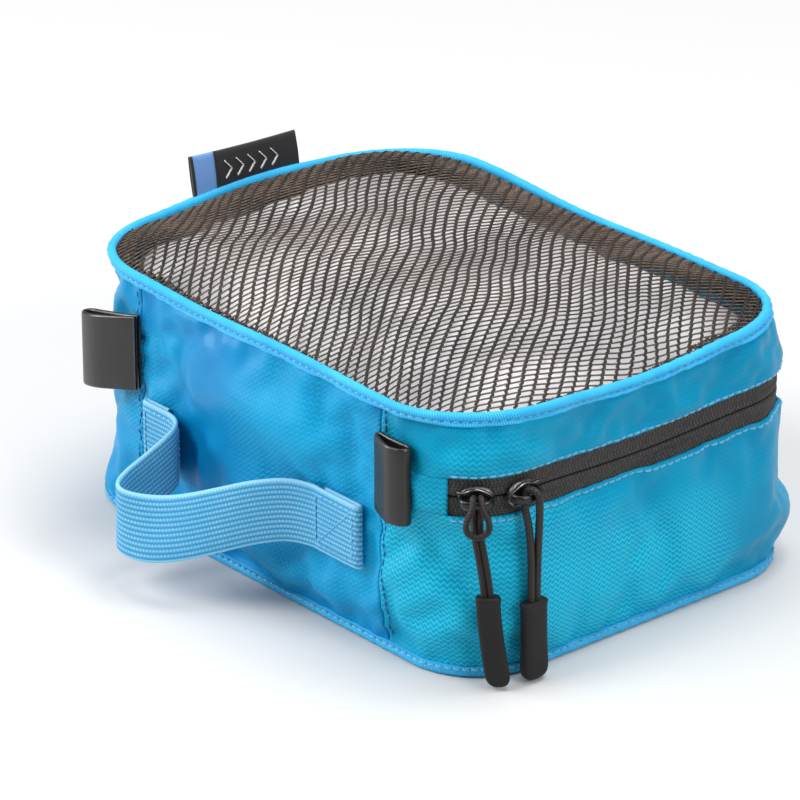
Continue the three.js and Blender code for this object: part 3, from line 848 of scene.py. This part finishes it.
def make_bottom():
    """The base panel: flat on the floor, drawn in to its binding."""
    s = np.linspace(-HALF_ROUND, HALF_ROUND, 160, endpoint=False)
    edge, normal = outline(s, 0.0)
    rings = []
    for share in np.concatenate([np.linspace(1.0, 0.9, 6), np.linspace(0.8, 0.05, 12)]):
        x, y = ((edge - normal * 1.2) * share).T
        ripple = 0.35 * np.abs(noise_at(x / 14, y / 14, 3.0))
        lift = 0.9 * np.clip((share - 0.93) / 0.07, 0, 1) ** 2
        rings.append(np.stack([x, y, 0.08 + ripple + lift], -1))
    points = np.concatenate(rings)
    faces = grid_faces(len(rings), len(s), wrap=True)
    faces.append(tuple(range(len(points) - len(s), len(points))))
    panel = mesh_piece("bottom_fabric", points, faces, "side", points[:, :2] * MM)
    add_solidify(panel, 0.6, offset=1.0)
    attach(panel, "base", "blue_fabric", "bottom_panel")


def carry_uv_on(ring):
    """Let the uv of a ring's last column run on past its end instead of jumping back to its start."""
    layer = ring.data.uv_layers[0].data
    corners = np.zeros(2 * len(layer))
    layer.foreach_get("uv", corners)
    u = corners.reshape(-1, 4, 2)[:, :, 0]
    jumps = np.ptp(u, axis=1) > HALF_ROUND * MM
    u[jumps] = np.where(u[jumps] < 0, u[jumps] + 2 * HALF_ROUND * MM, u[jumps])
    layer.foreach_set("uv", corners)


# Sections as (out of the wall, up). Up is from the rim, from the floor, and from the zip's line.
RIM_SECTION = [
    (0.30, -3.9), (0.80, -3.8), (1.0, -3.3), (0.85, -2.85), (0.25, -2.6), (0.20, -2.45), (0.75, -2.2),
    (1.15, -1.7), (1.2, -1.0), (0.85, -0.3), (0.1, 0.1), (-0.7, 0.05), (-1.35, -0.4), (-1.6, -1.2),
    (-1.6, -2.6), (-1.2, -3.0), (-0.6, -3.2),
]
FOOT_SECTION = [
    (-1.3, 2.9), (-0.2, 3.3), (0.55, 3.2), (1.1, 2.7), (1.5, 1.9), (1.45, 1.1), (1.05, 0.5), (0.3, 0.25),
    (-0.6, 0.35), (-1.3, 0.9),
]
TAPE_SECTION = [
    (-1.0, 9.2), (-1.0, 5.4), (-1.15, 3.2), (-1.0, 2.7), (-0.85, 2.2), (-0.8, 1.4), (-0.9, 0.7), (-1.12, 0.3),
    (-1.5, 0.2), (-1.8, 0.2), (-1.8, 5.0), (-1.6, 9.2),
]


def sweep_ring(name, section, look, s_line=None, ripple=0.0):
    """A section of (off, z) points swept round the wall. With an s_line it is a run with closed ends."""
    whole = s_line is None
    if whole:
        s_line = np.linspace(-HALF_ROUND, HALF_ROUND, 330, endpoint=False)
    section = np.asarray(section, float)
    off, z = section.T
    s, z_grid = np.meshgrid(s_line, z)
    swell = ripple * waves(s, 5.2, 3 * bump_noise(s, s * 0, 15, 9)) * (0.5 + bump_noise(s, s * 0, 25, 10))
    uv = np.stack(np.broadcast_arrays(s, lengths_along(section)[:, None]), -1) * MM
    faces = section_faces(*s.shape, wrap=whole)
    piece = mesh_piece(name, wall(s, z_grid, off[:, None] + swell), faces, look, uv)
    if whole:
        carry_uv_on(piece)
    return piece


def make_bindings():
    """Folded tape over the rim seam and round the base seam."""
    rim = [(off, RIM_Z + up) for off, up in RIM_SECTION]
    attach(sweep_ring("rim_binding_tape", rim, "binding", ripple=0.22), "lid", "blue_binding", "top_binding")
    foot = sweep_ring("base_binding_tape", FOOT_SECTION, "binding", ripple=0.25)
    attach(foot, "base", "blue_binding", "bottom_binding")


# ---- zip ----
def make_tapes():
    """Both tapes with the ridge of the coil behind them, and the coils themselves."""
    run = np.linspace(ZIP_START - 2, 2 * HALF_ROUND - ZIP_START + 2, 300)
    s = np.arange(ZIP_START, 2 * HALF_ROUND - ZIP_START, COIL_PITCH / 7)
    turns = 2 * math.pi * s / COIL_PITCH
    for name, sign, body in (("lower", -1, "base"), ("upper", 1, "lid")):
        section = [(off, ZIP_Z + sign * z) for off, z in TAPE_SECTION[::-sign]]
        tape = sweep_ring(f"{name}_zip_tape_woven", section, "tape", run)
        attach(tape, body, "zip_tape", f"{name}_zip_tape")
        path = wall(s, ZIP_Z + sign * (1.05 + 0.85 * np.cos(turns)), -2.75 + 0.62 * np.sin(turns))
        coil = tubes_piece(f"{name}_zip_coil_turns", [path], 0.26, 5, "coil")
        attach(coil, body, "zip_coil", f"{name}_zip_coil")


def row_on_wall(s, z, out=0.05):
    """A line and its normals on the finished cloth."""
    return cloth_points(s, z) + wall_normal(s, z) * out, wall_normal(s, z)


def make_stitching():
    """Topstitching: both zip edges, both bindings and the front seams."""
    run = np.arange(ZIP_START + 1, 2 * HALF_ROUND - ZIP_START - 1, 0.7)
    ring = np.arange(-HALF_ROUND, HALF_ROUND, 0.7)
    up = np.arange(WALL_FOOT + 2, WALL_TOP - 1, 0.6)
    level_normal = wall_normal(ring, ring * 0)
    rows = {
        ("zip_lower_stitching", "base"): row_on_wall(run, np.full_like(run, FOLD_LOW - 1.1)),
        ("zip_upper_stitching", "lid"): row_on_wall(run, np.full_like(run, FOLD_HIGH + 1.1)),
        ("rim_stitching", "lid"): (wall(ring, RIM_Z - 2.52, 0.45), level_normal),
        ("base_stitching", "base"): (wall(ring, 2.75, 1.2), level_normal),
    }
    for (name, body), row in rows.items():
        attach(tubes_piece(name, stitch_row(*row), 0.36, 5, "thread"), body)
    seams = []
    for side in (SEAM_RIGHT + 1.7, SEAM_LEFT - 1.7):
        seams += stitch_row(*row_on_wall(np.full_like(up, side), up), radius=0.26)
    seam = tubes_piece("front_seam_stitching", seams, 0.25, 5, "dark_thread")
    bend_with_lid(seam, ZIP_Z - 4, ZIP_Z + 4)


# ---- netting lid and filling ----
NET_EDGE_IN = 1.3
NET_EDGE_DROP = 1.6
NET_RISE = 8.2
NET_POWER = 3.6
NET_FAMILIES = ((-48.0, 3.4, 0.48), (77.0, 2.2, 0.27))  # direction in degrees, spacing, yarn radius
HEM_FAMILIES = (("net", 18.0, 1.4, 0.30), ("net_sheen", -72.0, 1.5, 0.30))  # gathered under the rim


def net_share(x, y):
    """How near the edge of the lid a point is: 0 in the middle, 1 at the edge."""
    half_x, half_y, corner = HALF_X - NET_EDGE_IN, HALF_Y - NET_EDGE_IN, LEVEL_CORNER[-1] - NET_EDGE_IN
    low = np.zeros(np.shape(x))
    high = np.full(np.shape(x), 1.6)
    for _ in range(24):
        mid = (low + high) / 2
        over_x = np.maximum(np.abs(x) - (half_x - corner) * mid, 0)
        over_y = np.maximum(np.abs(y) - (half_y - corner) * mid, 0)
        inside = np.hypot(over_x, over_y) <= corner * mid
        inside &= (np.abs(x) <= half_x * mid) & (np.abs(y) <= half_y * mid)
        high = np.where(inside, mid, high)
        low = np.where(inside, low, mid)
    return high


def flat_noise(x, y, size, seed):
    """Noise over the lid, with lumps of about the given size."""
    return noise_at(x / size, y / size, seed * 5.1)


def lid_height(x, y):
    """The netting's height: a dome with soft hollows, fixed at the rim, steepest at the back left."""
    share = np.clip(net_share(x, y), 0, 1)
    s = np.arctan2(x / HALF_X, -y / HALF_Y) / math.pi * HALF_ROUND
    dome = NET_RISE * (1 - share ** (NET_POWER + 7 * hump(s, -200, 30)))
    hollows = 1.5 * flat_noise(x, y, 34, 1) + 0.7 * flat_noise(x + 0.6 * y, y, 15, 2)
    rim_rise = sway(s, np.full(np.shape(x), RIM_Z))[1]
    return RIM_Z - NET_EDGE_DROP + dome + hollows * (1 - share**6) + rim_rise * share**3


def hem_share(x, y):
    """How much of the way in from the rim the gathered edge of the net reaches."""
    size = np.hypot(x / HALF_X, y / HALF_Y) + 1e-6
    far = (0.65 * y / HALF_Y - 0.76 * x / HALF_X) / size
    return 0.065 + 0.04 * far + 0.012 * flat_noise(x, y, 12, 8)


def strand_paths(angle, spacing, crossing, phase, hem=False):
    """The yarns of one family, following the lid. Hem yarns keep to the net's edge."""
    turn = math.radians(angle)
    reach = math.hypot(HALF_X, HALF_Y)
    t = np.arange(-reach, reach, crossing / 3)
    paths = []
    for index, shift in enumerate(np.arange(-reach, reach, spacing)):
        weave = np.cos(2 * math.pi * (t / crossing) + math.pi * index)
        aside = shift + 0.26 * weave
        x = math.cos(turn) * t - math.sin(turn) * aside
        y = math.sin(turn) * t + math.cos(turn) * aside
        x = x + 2.8 * flat_noise(x, y, 40, 3) + 0.7 * flat_noise(x, y, 13, 4)
        y = y + 2.8 * flat_noise(x, y, 40, 5) + 0.7 * flat_noise(x, y, 13, 6)
        share = net_share(x, y)
        kept = share < 1.0
        z = lid_height(x, y) + phase * 0.16 * weave
        if hem:
            kept &= share > 1 - hem_share(x, y)
            z -= 0.9
        points = np.stack([x, y, z], -1)
        places = np.flatnonzero(kept)
        runs = np.split(places, np.flatnonzero(np.diff(places) > 1) + 1)
        paths += [points[run] for run in runs if len(run) > 3]
    return paths


def yarn_piece(name, paths, radius, look):
    """Yarns as thin tubes, knotted to the lid."""
    attach(tubes_piece(name, paths, radius, 5, look), "lid", "netting", "mesh_top")


def make_netting():
    """Two families of yarn knotted where they cross, the second painted lighter as a painted sheen, and the
    gathered edge behind the rim over a solid band that stands for bunched net and paints shade on the wall's
    inner face.
    """
    (first_turn, first_gap, first_yarn), (second_turn, second_gap, second_yarn) = NET_FAMILIES
    sine = math.sin(math.radians(second_turn - first_turn))
    yarn_piece("netting_dark", strand_paths(first_turn, first_gap, second_gap / sine, 1), first_yarn, "net")
    # the second family is the same yarn painted lighter: painted sheen
    yarn_piece("netting_sheen", strand_paths(second_turn, second_gap, first_gap / sine, -1), second_yarn,
               "net_sheen")
    for number, (look, angle, gap, yarn) in enumerate(HEM_FAMILIES, 1):
        yarn_piece(f"netting_hem_{number}", strand_paths(angle, gap, gap, 1, hem=True), yarn, look)
    # a solid band inside the rim behind the gathered edge: it stands for bunched net and is painted shade
    # over the wall's inner face
    low, high = RIM_Z - 8.5, RIM_Z - 1.8
    hem = [(-1.75, low), (-1.75, high), (-2.35, high), (-2.35, low)]
    attach(sweep_ring("netting_hem_shade_band", hem, "net_sheen"), "lid", "netting")


def crumple(points, size, seed):
    """Sharp creases like crushed paper, from 0 to 1."""
    total = np.zeros(len(points))
    scale = 1.0
    for _ in range(3):
        total += (1 - 2 * np.abs(noise_at(*(points / size * scale + seed).T))) / scale
        scale *= 2.1
    return total / 1.7


def inside_wall(s, level, inset):
    """Points (x, y) that far inside the wall at one height, and further in where the wall is drawn in."""
    point, normal = outline(s, level)
    lean = np.minimum(sway(s, np.full(len(s), level))[0], 0)
    return point + normal * (lean - inset)[:, None]


def make_filling():
    """White tissue that keeps the cube in shape: a crumpled pillow under the netting."""
    s = np.linspace(-HALF_ROUND, HALF_ROUND, 260, endpoint=False)
    rim = inside_wall(s, 70.0, 5.0)
    rings = []
    for share in np.concatenate([np.linspace(0.02, 0.86, 44), np.linspace(0.89, 1.0, 7)]):
        x, y = (rim * share).T
        z = lid_height(x, y) - 2.6 - 4.5 * share**10 - 2.0 * np.clip((y + 15) / 60, 0, 1)
        rings.append(np.stack([x, y, z], -1))
    sides = [(inside_wall(s, level, 6.5), level) for level in 66 - 62 * np.linspace(0.12, 1, 12)]
    for ring, level in (*sides, (inside_wall(s, 8.0, 5.5) * 0.5, 3.0)):
        rings.append(np.column_stack([ring, np.full(len(s), level)]))
    points = np.concatenate(rings)
    points[:, 2] -= np.where(points[:, 2] > 50, 3.0, 0.0) * (1 - crumple(points, 17.0, 3.0))
    faces = turned_over(ring_faces(len(rings), len(s)))
    pillow = mesh_piece("tissue_filling", points, faces, "tissue")
    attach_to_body(pillow, "base")


# ---- webbing ----
HANDLE_ROUTE = [
    (-39.5, -69.95), (-42, -69.95), (-48.6, -70.0), (-50.2, -70.7), (-48.6, -71.45), (-41, -71.5),
    (-37.5, -71.6), (-34, -72.4), (-31, -74.2), (-29.2, -77.2), (-29.1, -81.5), (-30.2, -87), (-31.2, -92.6),
    (-29.6, -97.4), (-24.8, -99.8), (-18, -98.4), (-8, -93.4), (4, -86), (14, -79), (21.6, -73.9),
    (28.6, -71.5), (33, -71.45), (41, -71.5), (47.6, -71.45), (49.2, -70.7), (47.6, -70.0), (41, -69.95),
    (33, -69.95),
]
ANCHOR_FACE_Y = -72.15
HANDLE_SAG = 12.0
HANDLE_LEAN = 3.8  # the front of the bow faces up a little
LOOP_ROUTE = [  # share of the way out from the seam, and y
    (0, -69.4), (0.3, -69.75), (0.7, -69.7), (0.92, -69.6), (1, -71.1), (0.92, -73.1), (0.65, -74.0),
    (0.3, -72.6), (0, -70.7),
]


def ribbon_piece(name, path, height, thick, look, lean=0.0):
    """Webbing on edge along a path, with slightly thinner, rounded selvedges."""
    tangent = unit(np.gradient(path, axis=0) * (1, 1, 0))
    side = np.stack([tangent[:, 1], -tangent[:, 0], np.zeros(len(path))], -1)
    half = height / 2
    rise = np.array([-1, -0.985, -0.93, -0.5, 0, 0.5, 0.93, 0.985, 1]) * half
    body = np.array([0.22, 0.7, 1, 1, 1, 1, 1, 0.7, 0.22]) * thick / 2
    upright = np.sqrt(1 - (lean / half) ** 2) * np.ones(len(path))
    run = lengths_along(path)
    rows, uv = [], []
    for z, w in [*zip(rise, body), *zip(rise[::-1], -body[::-1])]:
        shift = side * (w + lean * z / half * np.ones(len(path)))[:, None]
        rows.append(path + shift + (z * upright)[:, None] * (0, 0, 1))
        uv.append(np.stack([run, np.full(len(path), z + half)], -1) * MM)
    faces = section_faces(len(rows), len(path))
    return mesh_piece(name, np.concatenate(rows), faces, look, np.concatenate(uv))


def make_handle():
    """One strap: folded and sewn down at both ends, and free between them."""
    path = smooth_path([(x, y, 0.0) for x, y in HANDLE_ROUTE], 0.9)
    out = ease((-path[:, 1] - 72) / 28)
    path[:, 2] = HANDLE_MIDDLE_Z - HANDLE_SAG * out + 0.5 * np.sin(path[:, 0] / 9) * out
    lean = -HANDLE_LEAN * out * ease((path[:, 0] + 31) / 22)
    strap = ribbon_piece("handle_webbing", path, WEBBING, 1.25, "handle", lean)
    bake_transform(strap)
    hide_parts("handle_left_anchor", "handle_right_anchor", "handle_left_root", "handle_right_root",
                "handle_strap")
    for name, (low, high) in zip(("left", "right"), HANDLE_ENDS):
        attach(stitch_box(name, low + 2, high - 2), "base", "blue_thread", f"handle_{name}_box_stitch")


def stitch_box(name, low, high):
    """A square of stitches with one diagonal, on the face of a sewn end."""
    bottom, top = HANDLE_MIDDLE_Z - 7.8, HANDLE_MIDDLE_Z + 7.8
    corners = [(low, bottom), (high, bottom), (high, top), (low, top), (low, bottom), (high, top)]
    paths = []
    for (x0, z0), (x1, z1) in zip(corners, corners[1:]):
        t = np.linspace(0, 1, 24)
        line = np.stack([x0 + (x1 - x0) * t, np.full(24, ANCHOR_FACE_Y), z0 + (z1 - z0) * t], -1)
        paths += stitch_row(line, np.tile([0.0, -1.0, 0.0], (24, 1)), pitch=2.3, length=1.9)
    return tubes_piece(f"handle_{name}_box_thread", paths, 0.27, 5, "thread")


def make_loop(name, seam, side, reach, low, sag):
    """A folded loop of black webbing, caught in a front seam."""
    route = [(seam + side * (0.2 + (reach - 0.9) * share), y, 0.0) for share, y in LOOP_ROUTE]
    path = smooth_path(route, 0.7)
    path[:, 2] = low + LOOP_WEBBING / 2 - sag * np.abs(path[:, 0] - seam) / reach
    loop = ribbon_piece(f"{name}_webbing", path, LOOP_WEBBING, 1.15, "black")
    bend_with_lid(loop, FOLD_LOW, FOLD_HIGH)
    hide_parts(name)


# ---- sliders and pulls: X out of the wall, Y along the zip, Z up ----
BRIDGE_OUT = 4.7  # from the zip's line to the pull's hinge
PULL_LEAN = 3.2  # how far pull a hangs off the plumb line at its grip
GRIPS = {  # top, length, width, bend and how far aside it starts
    "a": (-27.6, 28.6, 7.4, 3.4, PULL_LEAN),
    "b": (-31.5, 25.0, 9.2, 0.5, 0.0),
}
ARCH_HALF = [(0.9, -4.5, 0), (2.4, -4.35, 0), (4.0, -3.5, 0), (4.75, -1.9, 0), (4.95, 0, 0)]
WING_ROUTE = [
    (1.2, -5.5, 2.6), (1.3, -3.6, 2.5), (1.6, -1.6, 3.3), (1.65, 0.4, 3.5), (1.5, 2.6, 2.7), (1.2, 4.2, 1.6),
    (1.0, 5.4, 0.2),
]
HITCH_HALF = [
    (2.5, 0.9, 0.4), (4.7, 1.1, 2.35), (6.9, 1.6, -0.2), (7.8, 3.1, -3.6), (8.0, 2.9, -6.6), (8.0, 0.0, -8.3),
]
GRIP_RINGS = (  # share of the length, of the width and of the thickness
    (0, 0.84, 0.80), (0.012, 0.96, 0.94), (0.03, 1.0, 1.0), (0.05, 1.0, 1.0), (0.065, 0.95, 0.93),
    (0.12, 0.94, 0.90), (0.25, 0.94, 0.90), (0.4, 0.95, 0.91), (0.55, 0.96, 0.93), (0.7, 0.98, 0.96),
    (0.82, 1.0, 1.0), (0.89, 0.98, 0.97), (0.94, 0.88, 0.88), (0.975, 0.68, 0.70), (0.993, 0.42, 0.45),
    (1, 0.1, 0.1),
)


def joint_named(name):
    return next(joint for joint in frame["joints"] if joint["name"] == name)


def slider_place(letter):
    """Where a slider sits on the zip's line and how it is turned, from its pull's hinge."""
    joint = joint_named(f"pull_{letter}_swing")
    along = -np.array(joint["axis"][:2])
    out = np.array([along[1], -along[0]])
    return np.array(joint["pos_m"][:2]) / MM - BRIDGE_OUT * out, out, along


def to_place(points, place):
    """Slider coordinates into the frame."""
    origin, out, along = place
    points = np.asarray(points, float)
    flat = origin + points[..., :1] * out + points[..., 1:2] * along
    return np.concatenate([flat, points[..., 2:3] + ZIP_Z], -1)


def rounded_outline(count, power):
    """Two coordinates round an outline between a circle, at power 2, and a square."""
    angle = np.linspace(0, 2 * math.pi, count, endpoint=False)
    circle = np.stack([np.cos(angle), np.sin(angle)])
    return np.sign(circle) * np.abs(circle) ** (2 / power)


def mirrored(route):
    """A route that ends at y = 0, carried on through its mirror image."""
    return route + [(x, -y, z) for x, y, z in reversed(route[:-1])]


def plate_arrays(half_y, half_z, low, high, power):
    """A plate with a rounded outline and softened edges."""
    y, z = rounded_outline(36, power)
    steps = ((low, 0.02), (low, 0.86), (low + 0.18, 0.97), ((low + high) / 2, 1.0), (high - 0.25, 0.96),
             (high, 0.84), (high + 0.12, 0.45))
    rings = [np.stack([np.full(36, x), y * share * half_y, z * share * half_z], -1) for x, share in steps]
    return np.concatenate(rings), ring_faces(len(rings), 36)


def strap_arrays(path, half_width, thin):
    """A flat strap along a path that lies in the level plane."""
    middle = path[:, None]
    offset = tube_points(path, half_width, 12) - middle
    across = unit(np.cross(unit(np.gradient(path, axis=0)), (0, 0, 1.0)))[:, None]
    ring = middle + offset - (offset * across).sum(-1)[..., None] * across * (1 - thin)
    return ring.reshape(-1, 3), turned_over(ring_faces(len(path), 12))


def make_slider(letter, place):
    """A cast slider body, the bridge that the pull hangs from, and its crown with a lighter metal line along
    the top: a painted highlight, with some paint wear.
    """
    name = f"slider_{letter}"
    points, faces = [], []
    for plate in ((5.2, 3.9, -0.55, 1.0, 2.5), (3.3, 3.6, -5.8, -4.7, 3.2), (2.6, 0.28, -5.0, -0.4, 6.0)):
        more, quads = plate_arrays(*plate)
        faces += [tuple(len(points) + corner for corner in quad) for quad in quads]
        points.extend(more)
    body = mesh_piece(f"{name}_casting", to_place(points, place), faces, "metal")
    arch = smooth_path(mirrored(ARCH_HALF), 0.35)
    strap, quads = strap_arrays(arch, 1.15 * (1 + 0.35 * np.linspace(-1, 1, len(arch)) ** 2), 0.5)
    bridge = mesh_piece(f"{name}_arch", to_place(strap, place), quads, "metal")
    turned = 1 if letter == "a" else -1
    wing = smooth_path([(x, y * turned, z) for x, y, z in WING_ROUTE], 0.35)
    crown = tubes_piece(f"{name}_crown", [to_place(wing - (0.25, 0, 0.3), place)], 0.55, 8, "metal")
    # a lighter metal line along the crown's top: a painted highlight for the glint, with some paint wear
    rubbed_and_glint = tubes_piece(f"{name}_glint_and_wear_edge", [to_place(wing, place)], 0.24, 6, "wear_and_glint")
    attach(crown, name, "slider_metal")
    attach(body, name, "slider_metal", f"{name}_body")
    attach(bridge, name, "slider_metal", f"{name}_bridge")
    attach(rubbed_and_glint, name, "slider_metal")


def make_cords(letter, place, grip_top):
    """Doubled braided cord: slider a's is hitched in a ring, slider b's runs straight."""
    low = grip_top - 1.5
    if letter == "a":
        tails = [smooth_path([(2.6, y, -1.0), (3.6, y * 1.05, -4.5), (5.4, y + 0.2, -9.0),
                              (5.9, y + 1.2, -15), (5.7, y + 2.2, -21), (5.7, y + PULL_LEAN, low)], 0.6)
                 for y in (-0.9, 0.9)]
        paths, radius = [smooth_path(mirrored(HITCH_HALF), 0.45), *tails], 0.95
    else:
        bend = [(4.7 + 2.35 * math.cos(a), 0.55 * math.cos(a), 2.35 * math.sin(a))
                for a in np.radians([150, 120, 90, 60, 30])]
        paths = [smooth_path([(5.7, -1.0, low), (5.5, -1.05, -18), (4.6, -1.25, -9), (2.7, -1.1, -3.0), *bend,
                              (6.6, 0.95, -3.0), (6.2, 1.2, -9), (5.9, 1.1, -18), (5.7, 1.05, low)], 0.55)]
        radius = 1.12
    paths = [to_place(path, place) for path in paths]
    cord = tubes_piece(f"pull_{letter}_braid", paths, radius, 10, "cord")
    attach(cord, f"pull_{letter}", "pull_cord", f"pull_{letter}_cord")


def make_grip(letter, place, top, length, width, bend, start):
    """A moulded grip: a collar at the top, straight sides and a rounded end."""
    y, x = rounded_outline(28, 3.2)
    rings = []
    for t, wide, thick in GRIP_RINGS:
        aside = start + bend * t**1.5 + y * wide * width / 2
        rings.append(np.stack([5.7 + x * thick * 2.25, aside, np.full(28, top - t * length)], -1))
    faces = turned_over(ring_faces(len(rings), 28))
    points = to_place(np.concatenate(rings), place)
    grip = mesh_piece(f"pull_{letter}_moulding", points, faces, "grip")
    smooth = grip.modifiers.new("smooth", "SUBSURF")
    smooth.levels = smooth.render_levels = 1
    attach(grip, f"pull_{letter}", "pull_grip", f"pull_{letter}_grip")


def make_sliders():
    """Both sliders with their pulls."""
    places = {letter: slider_place(letter) for letter in GRIPS}
    for letter, place in places.items():
        make_slider(letter, place)
        make_cords(letter, place, GRIPS[letter][0])
    for letter, sizes in GRIPS.items():
        make_grip(letter, places[letter], *sizes)


# ---- label ----
STRIPE_LOW, STRIPE_HIGH = node_box("label_stripe")
LABEL_FRONT = STRIPE_LOW[1] - 1.5
STRIPE_END = STRIPE_LOW[1] + 7.4
LABEL_BACK = node_box("label_body")[1][1] - 1.5
LABEL_FOOT_X = STRIPE_HIGH[0] - 1.6
LABEL_FOOT_Z = STRIPE_LOW[2] - 1.0
LABEL_TALL = 13.4


def label_point(share, y, side):
    """A point of the label: share goes up it, and side is -1 on its outer face and 1 on its inner face."""
    back = (y - LABEL_FRONT) / (LABEL_BACK - LABEL_FRONT)
    up = share * LABEL_TALL
    lean = 0.72 * math.sin(back * math.pi) * share - 0.14 * up - 0.00875 * up**1.5
    swell = 0.42 + 0.25 * math.sin(share * math.pi)
    return (LABEL_FOOT_X + lean + side * swell, y, LABEL_FOOT_Z + up - 1.4 * back * share)


def label_strip(name, from_y, to_y, look):
    """A stretch of the folded label, closed at its top fold."""
    lines = np.linspace(from_y, to_y, max(int((to_y - from_y) / 1.2), 2) + 1)
    shares = [*np.linspace(0, 0.97, 12), 1.0]
    loop = [(t, -1) for t in shares] + [(t, 1) for t in shares[::-1]]
    points = [label_point(t, y, side * (0.35 if t == 1.0 else 1)) for t, side in loop for y in lines]
    uv = [(y * MM, t * LABEL_TALL * MM) for t, side in loop for y in lines]
    faces = turned_over(section_faces(len(loop), len(lines)))
    return mesh_piece(name, points, faces, look, uv)


def chevron_paths():
    """A plain row of chevrons on both faces of the label, in place of any wording."""
    paths = []
    for index in range(5):
        y = STRIPE_END + 5.0 + index * 4.6
        for side in (1, -1):
            arms = [(0.30, y - 1.3 * side), (0.52, y + 1.3 * side), (0.74, y - 1.3 * side)]
            for start, end in zip(arms, arms[1:]):
                line = np.linspace(start, end, 7)
                paths.append(np.array([label_point(share, at, side * 1.03) for share, at in line]))
    return paths


def make_label():
    """A folded woven tab on the left rim: black with a blue stripe."""
    edge = label_strip("label_front_edge", LABEL_FRONT, LABEL_FRONT + 1.1, "label")
    stripe = label_strip("label_stripe_band", LABEL_FRONT + 1.1, STRIPE_END, "stripe")
    body = label_strip("label_body_band", STRIPE_END, LABEL_BACK, "label")
    motif = tubes_piece("label_motif", chevron_paths(), 0.42, 6, "motif", flat=0.45)
    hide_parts("label_stripe")
    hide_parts("label_body")
    slots = ((stripe, "label_stripe"), (edge, "label_black"), (body, "label_black"), (motif, None))
    for piece, slot in slots:
        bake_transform(piece)


# ---- stage ----
VIEW_AZIMUTH = 49.3
VIEW_ELEVATION = 24.0
VIEW_DISTANCE = 1.48
VIEW_LENS = 222.0
VIEW_TARGET = (-0.004, -0.010, 0.0425)
FLOOR_HALF = 6.0
LIGHTS = (  # place, size and power
    ("key", (-0.5, -1.3, 1.5), 0.8, 20),
    ("sheen", (-1.5, -1.2, 0.62), 0.7, 24),
    ("side", (1.7, 0.1, 1.1), 0.8, 18),
    ("top", (0.1, 0.4, 1.8), 1.2, 32),
)


def look_along(thing, away):
    """Turns a camera or light to look against a direction."""
    thing.rotation_euler = away.to_track_quat("Z", "Y").to_euler()


def add_camera():
    """The photograph's viewing angle, aimed at the cube."""
    turn, lift = math.radians(VIEW_AZIMUTH), math.radians(VIEW_ELEVATION)
    away = Vector((math.sin(turn) * math.cos(lift), -math.cos(turn) * math.cos(lift), math.sin(lift)))
    data = bpy.data.cameras.new("camera")
    data.lens = VIEW_LENS
    data.sensor_width = 36.0
    data.clip_start = 0.05
    data.clip_end = 50
    camera = bpy.data.objects.new("camera", data)
    bpy.context.scene.collection.objects.link(camera)
    camera.location = Vector(VIEW_TARGET) + away * VIEW_DISTANCE
    look_along(camera, away)
    bpy.context.scene.camera = camera


def add_area(name, place, size, power):
    """A square light aimed at the middle of the cube."""
    data = bpy.data.lights.new(name, "AREA")
    data.shape = "SQUARE"
    data.size = size
    data.energy = power
    light = bpy.data.objects.new(name, data)
    bpy.context.scene.collection.objects.link(light)
    light.location = place
    look_along(light, Vector(place) - Vector((0, 0, 0.04)))


def add_stage():
    """A level floor, four soft lights and a pale surrounding."""
    corners = np.array([(-1, -1, 0), (1, -1, 0), (1, 1, 0), (-1, 1, 0)])
    mesh_piece("floor", corners * FLOOR_HALF / MM, [(0, 1, 2, 3)], "floor")
    for name, place, size, power in LIGHTS:
        add_area(f"{name}_light", place, size, power)
    world = bpy.data.worlds.new("studio")
    world.use_nodes = True
    background = world.node_tree.nodes["Background"]
    background.inputs["Color"].default_value = (0.97, 0.98, 1.0, 1.0)
    background.inputs["Strength"].default_value = 0.28
    bpy.context.scene.world = world
    bpy.context.scene.view_settings.view_transform = "Standard"


# ---- the build ----
MATERIALS = make_materials()
add_camera()
simulate_wall()
make_walls()
make_bottom()
make_bindings()
make_tapes()
make_stitching()
make_netting()
make_filling()
make_handle()
make_loop("right_loop", SEAM_RIGHT, 1, 15.0, 46.5, 0.0)
make_loop("left_loop", SEAM_LEFT, -1, 25.0, 46.5, 5.5)
make_sliders()
make_label()
add_stage()
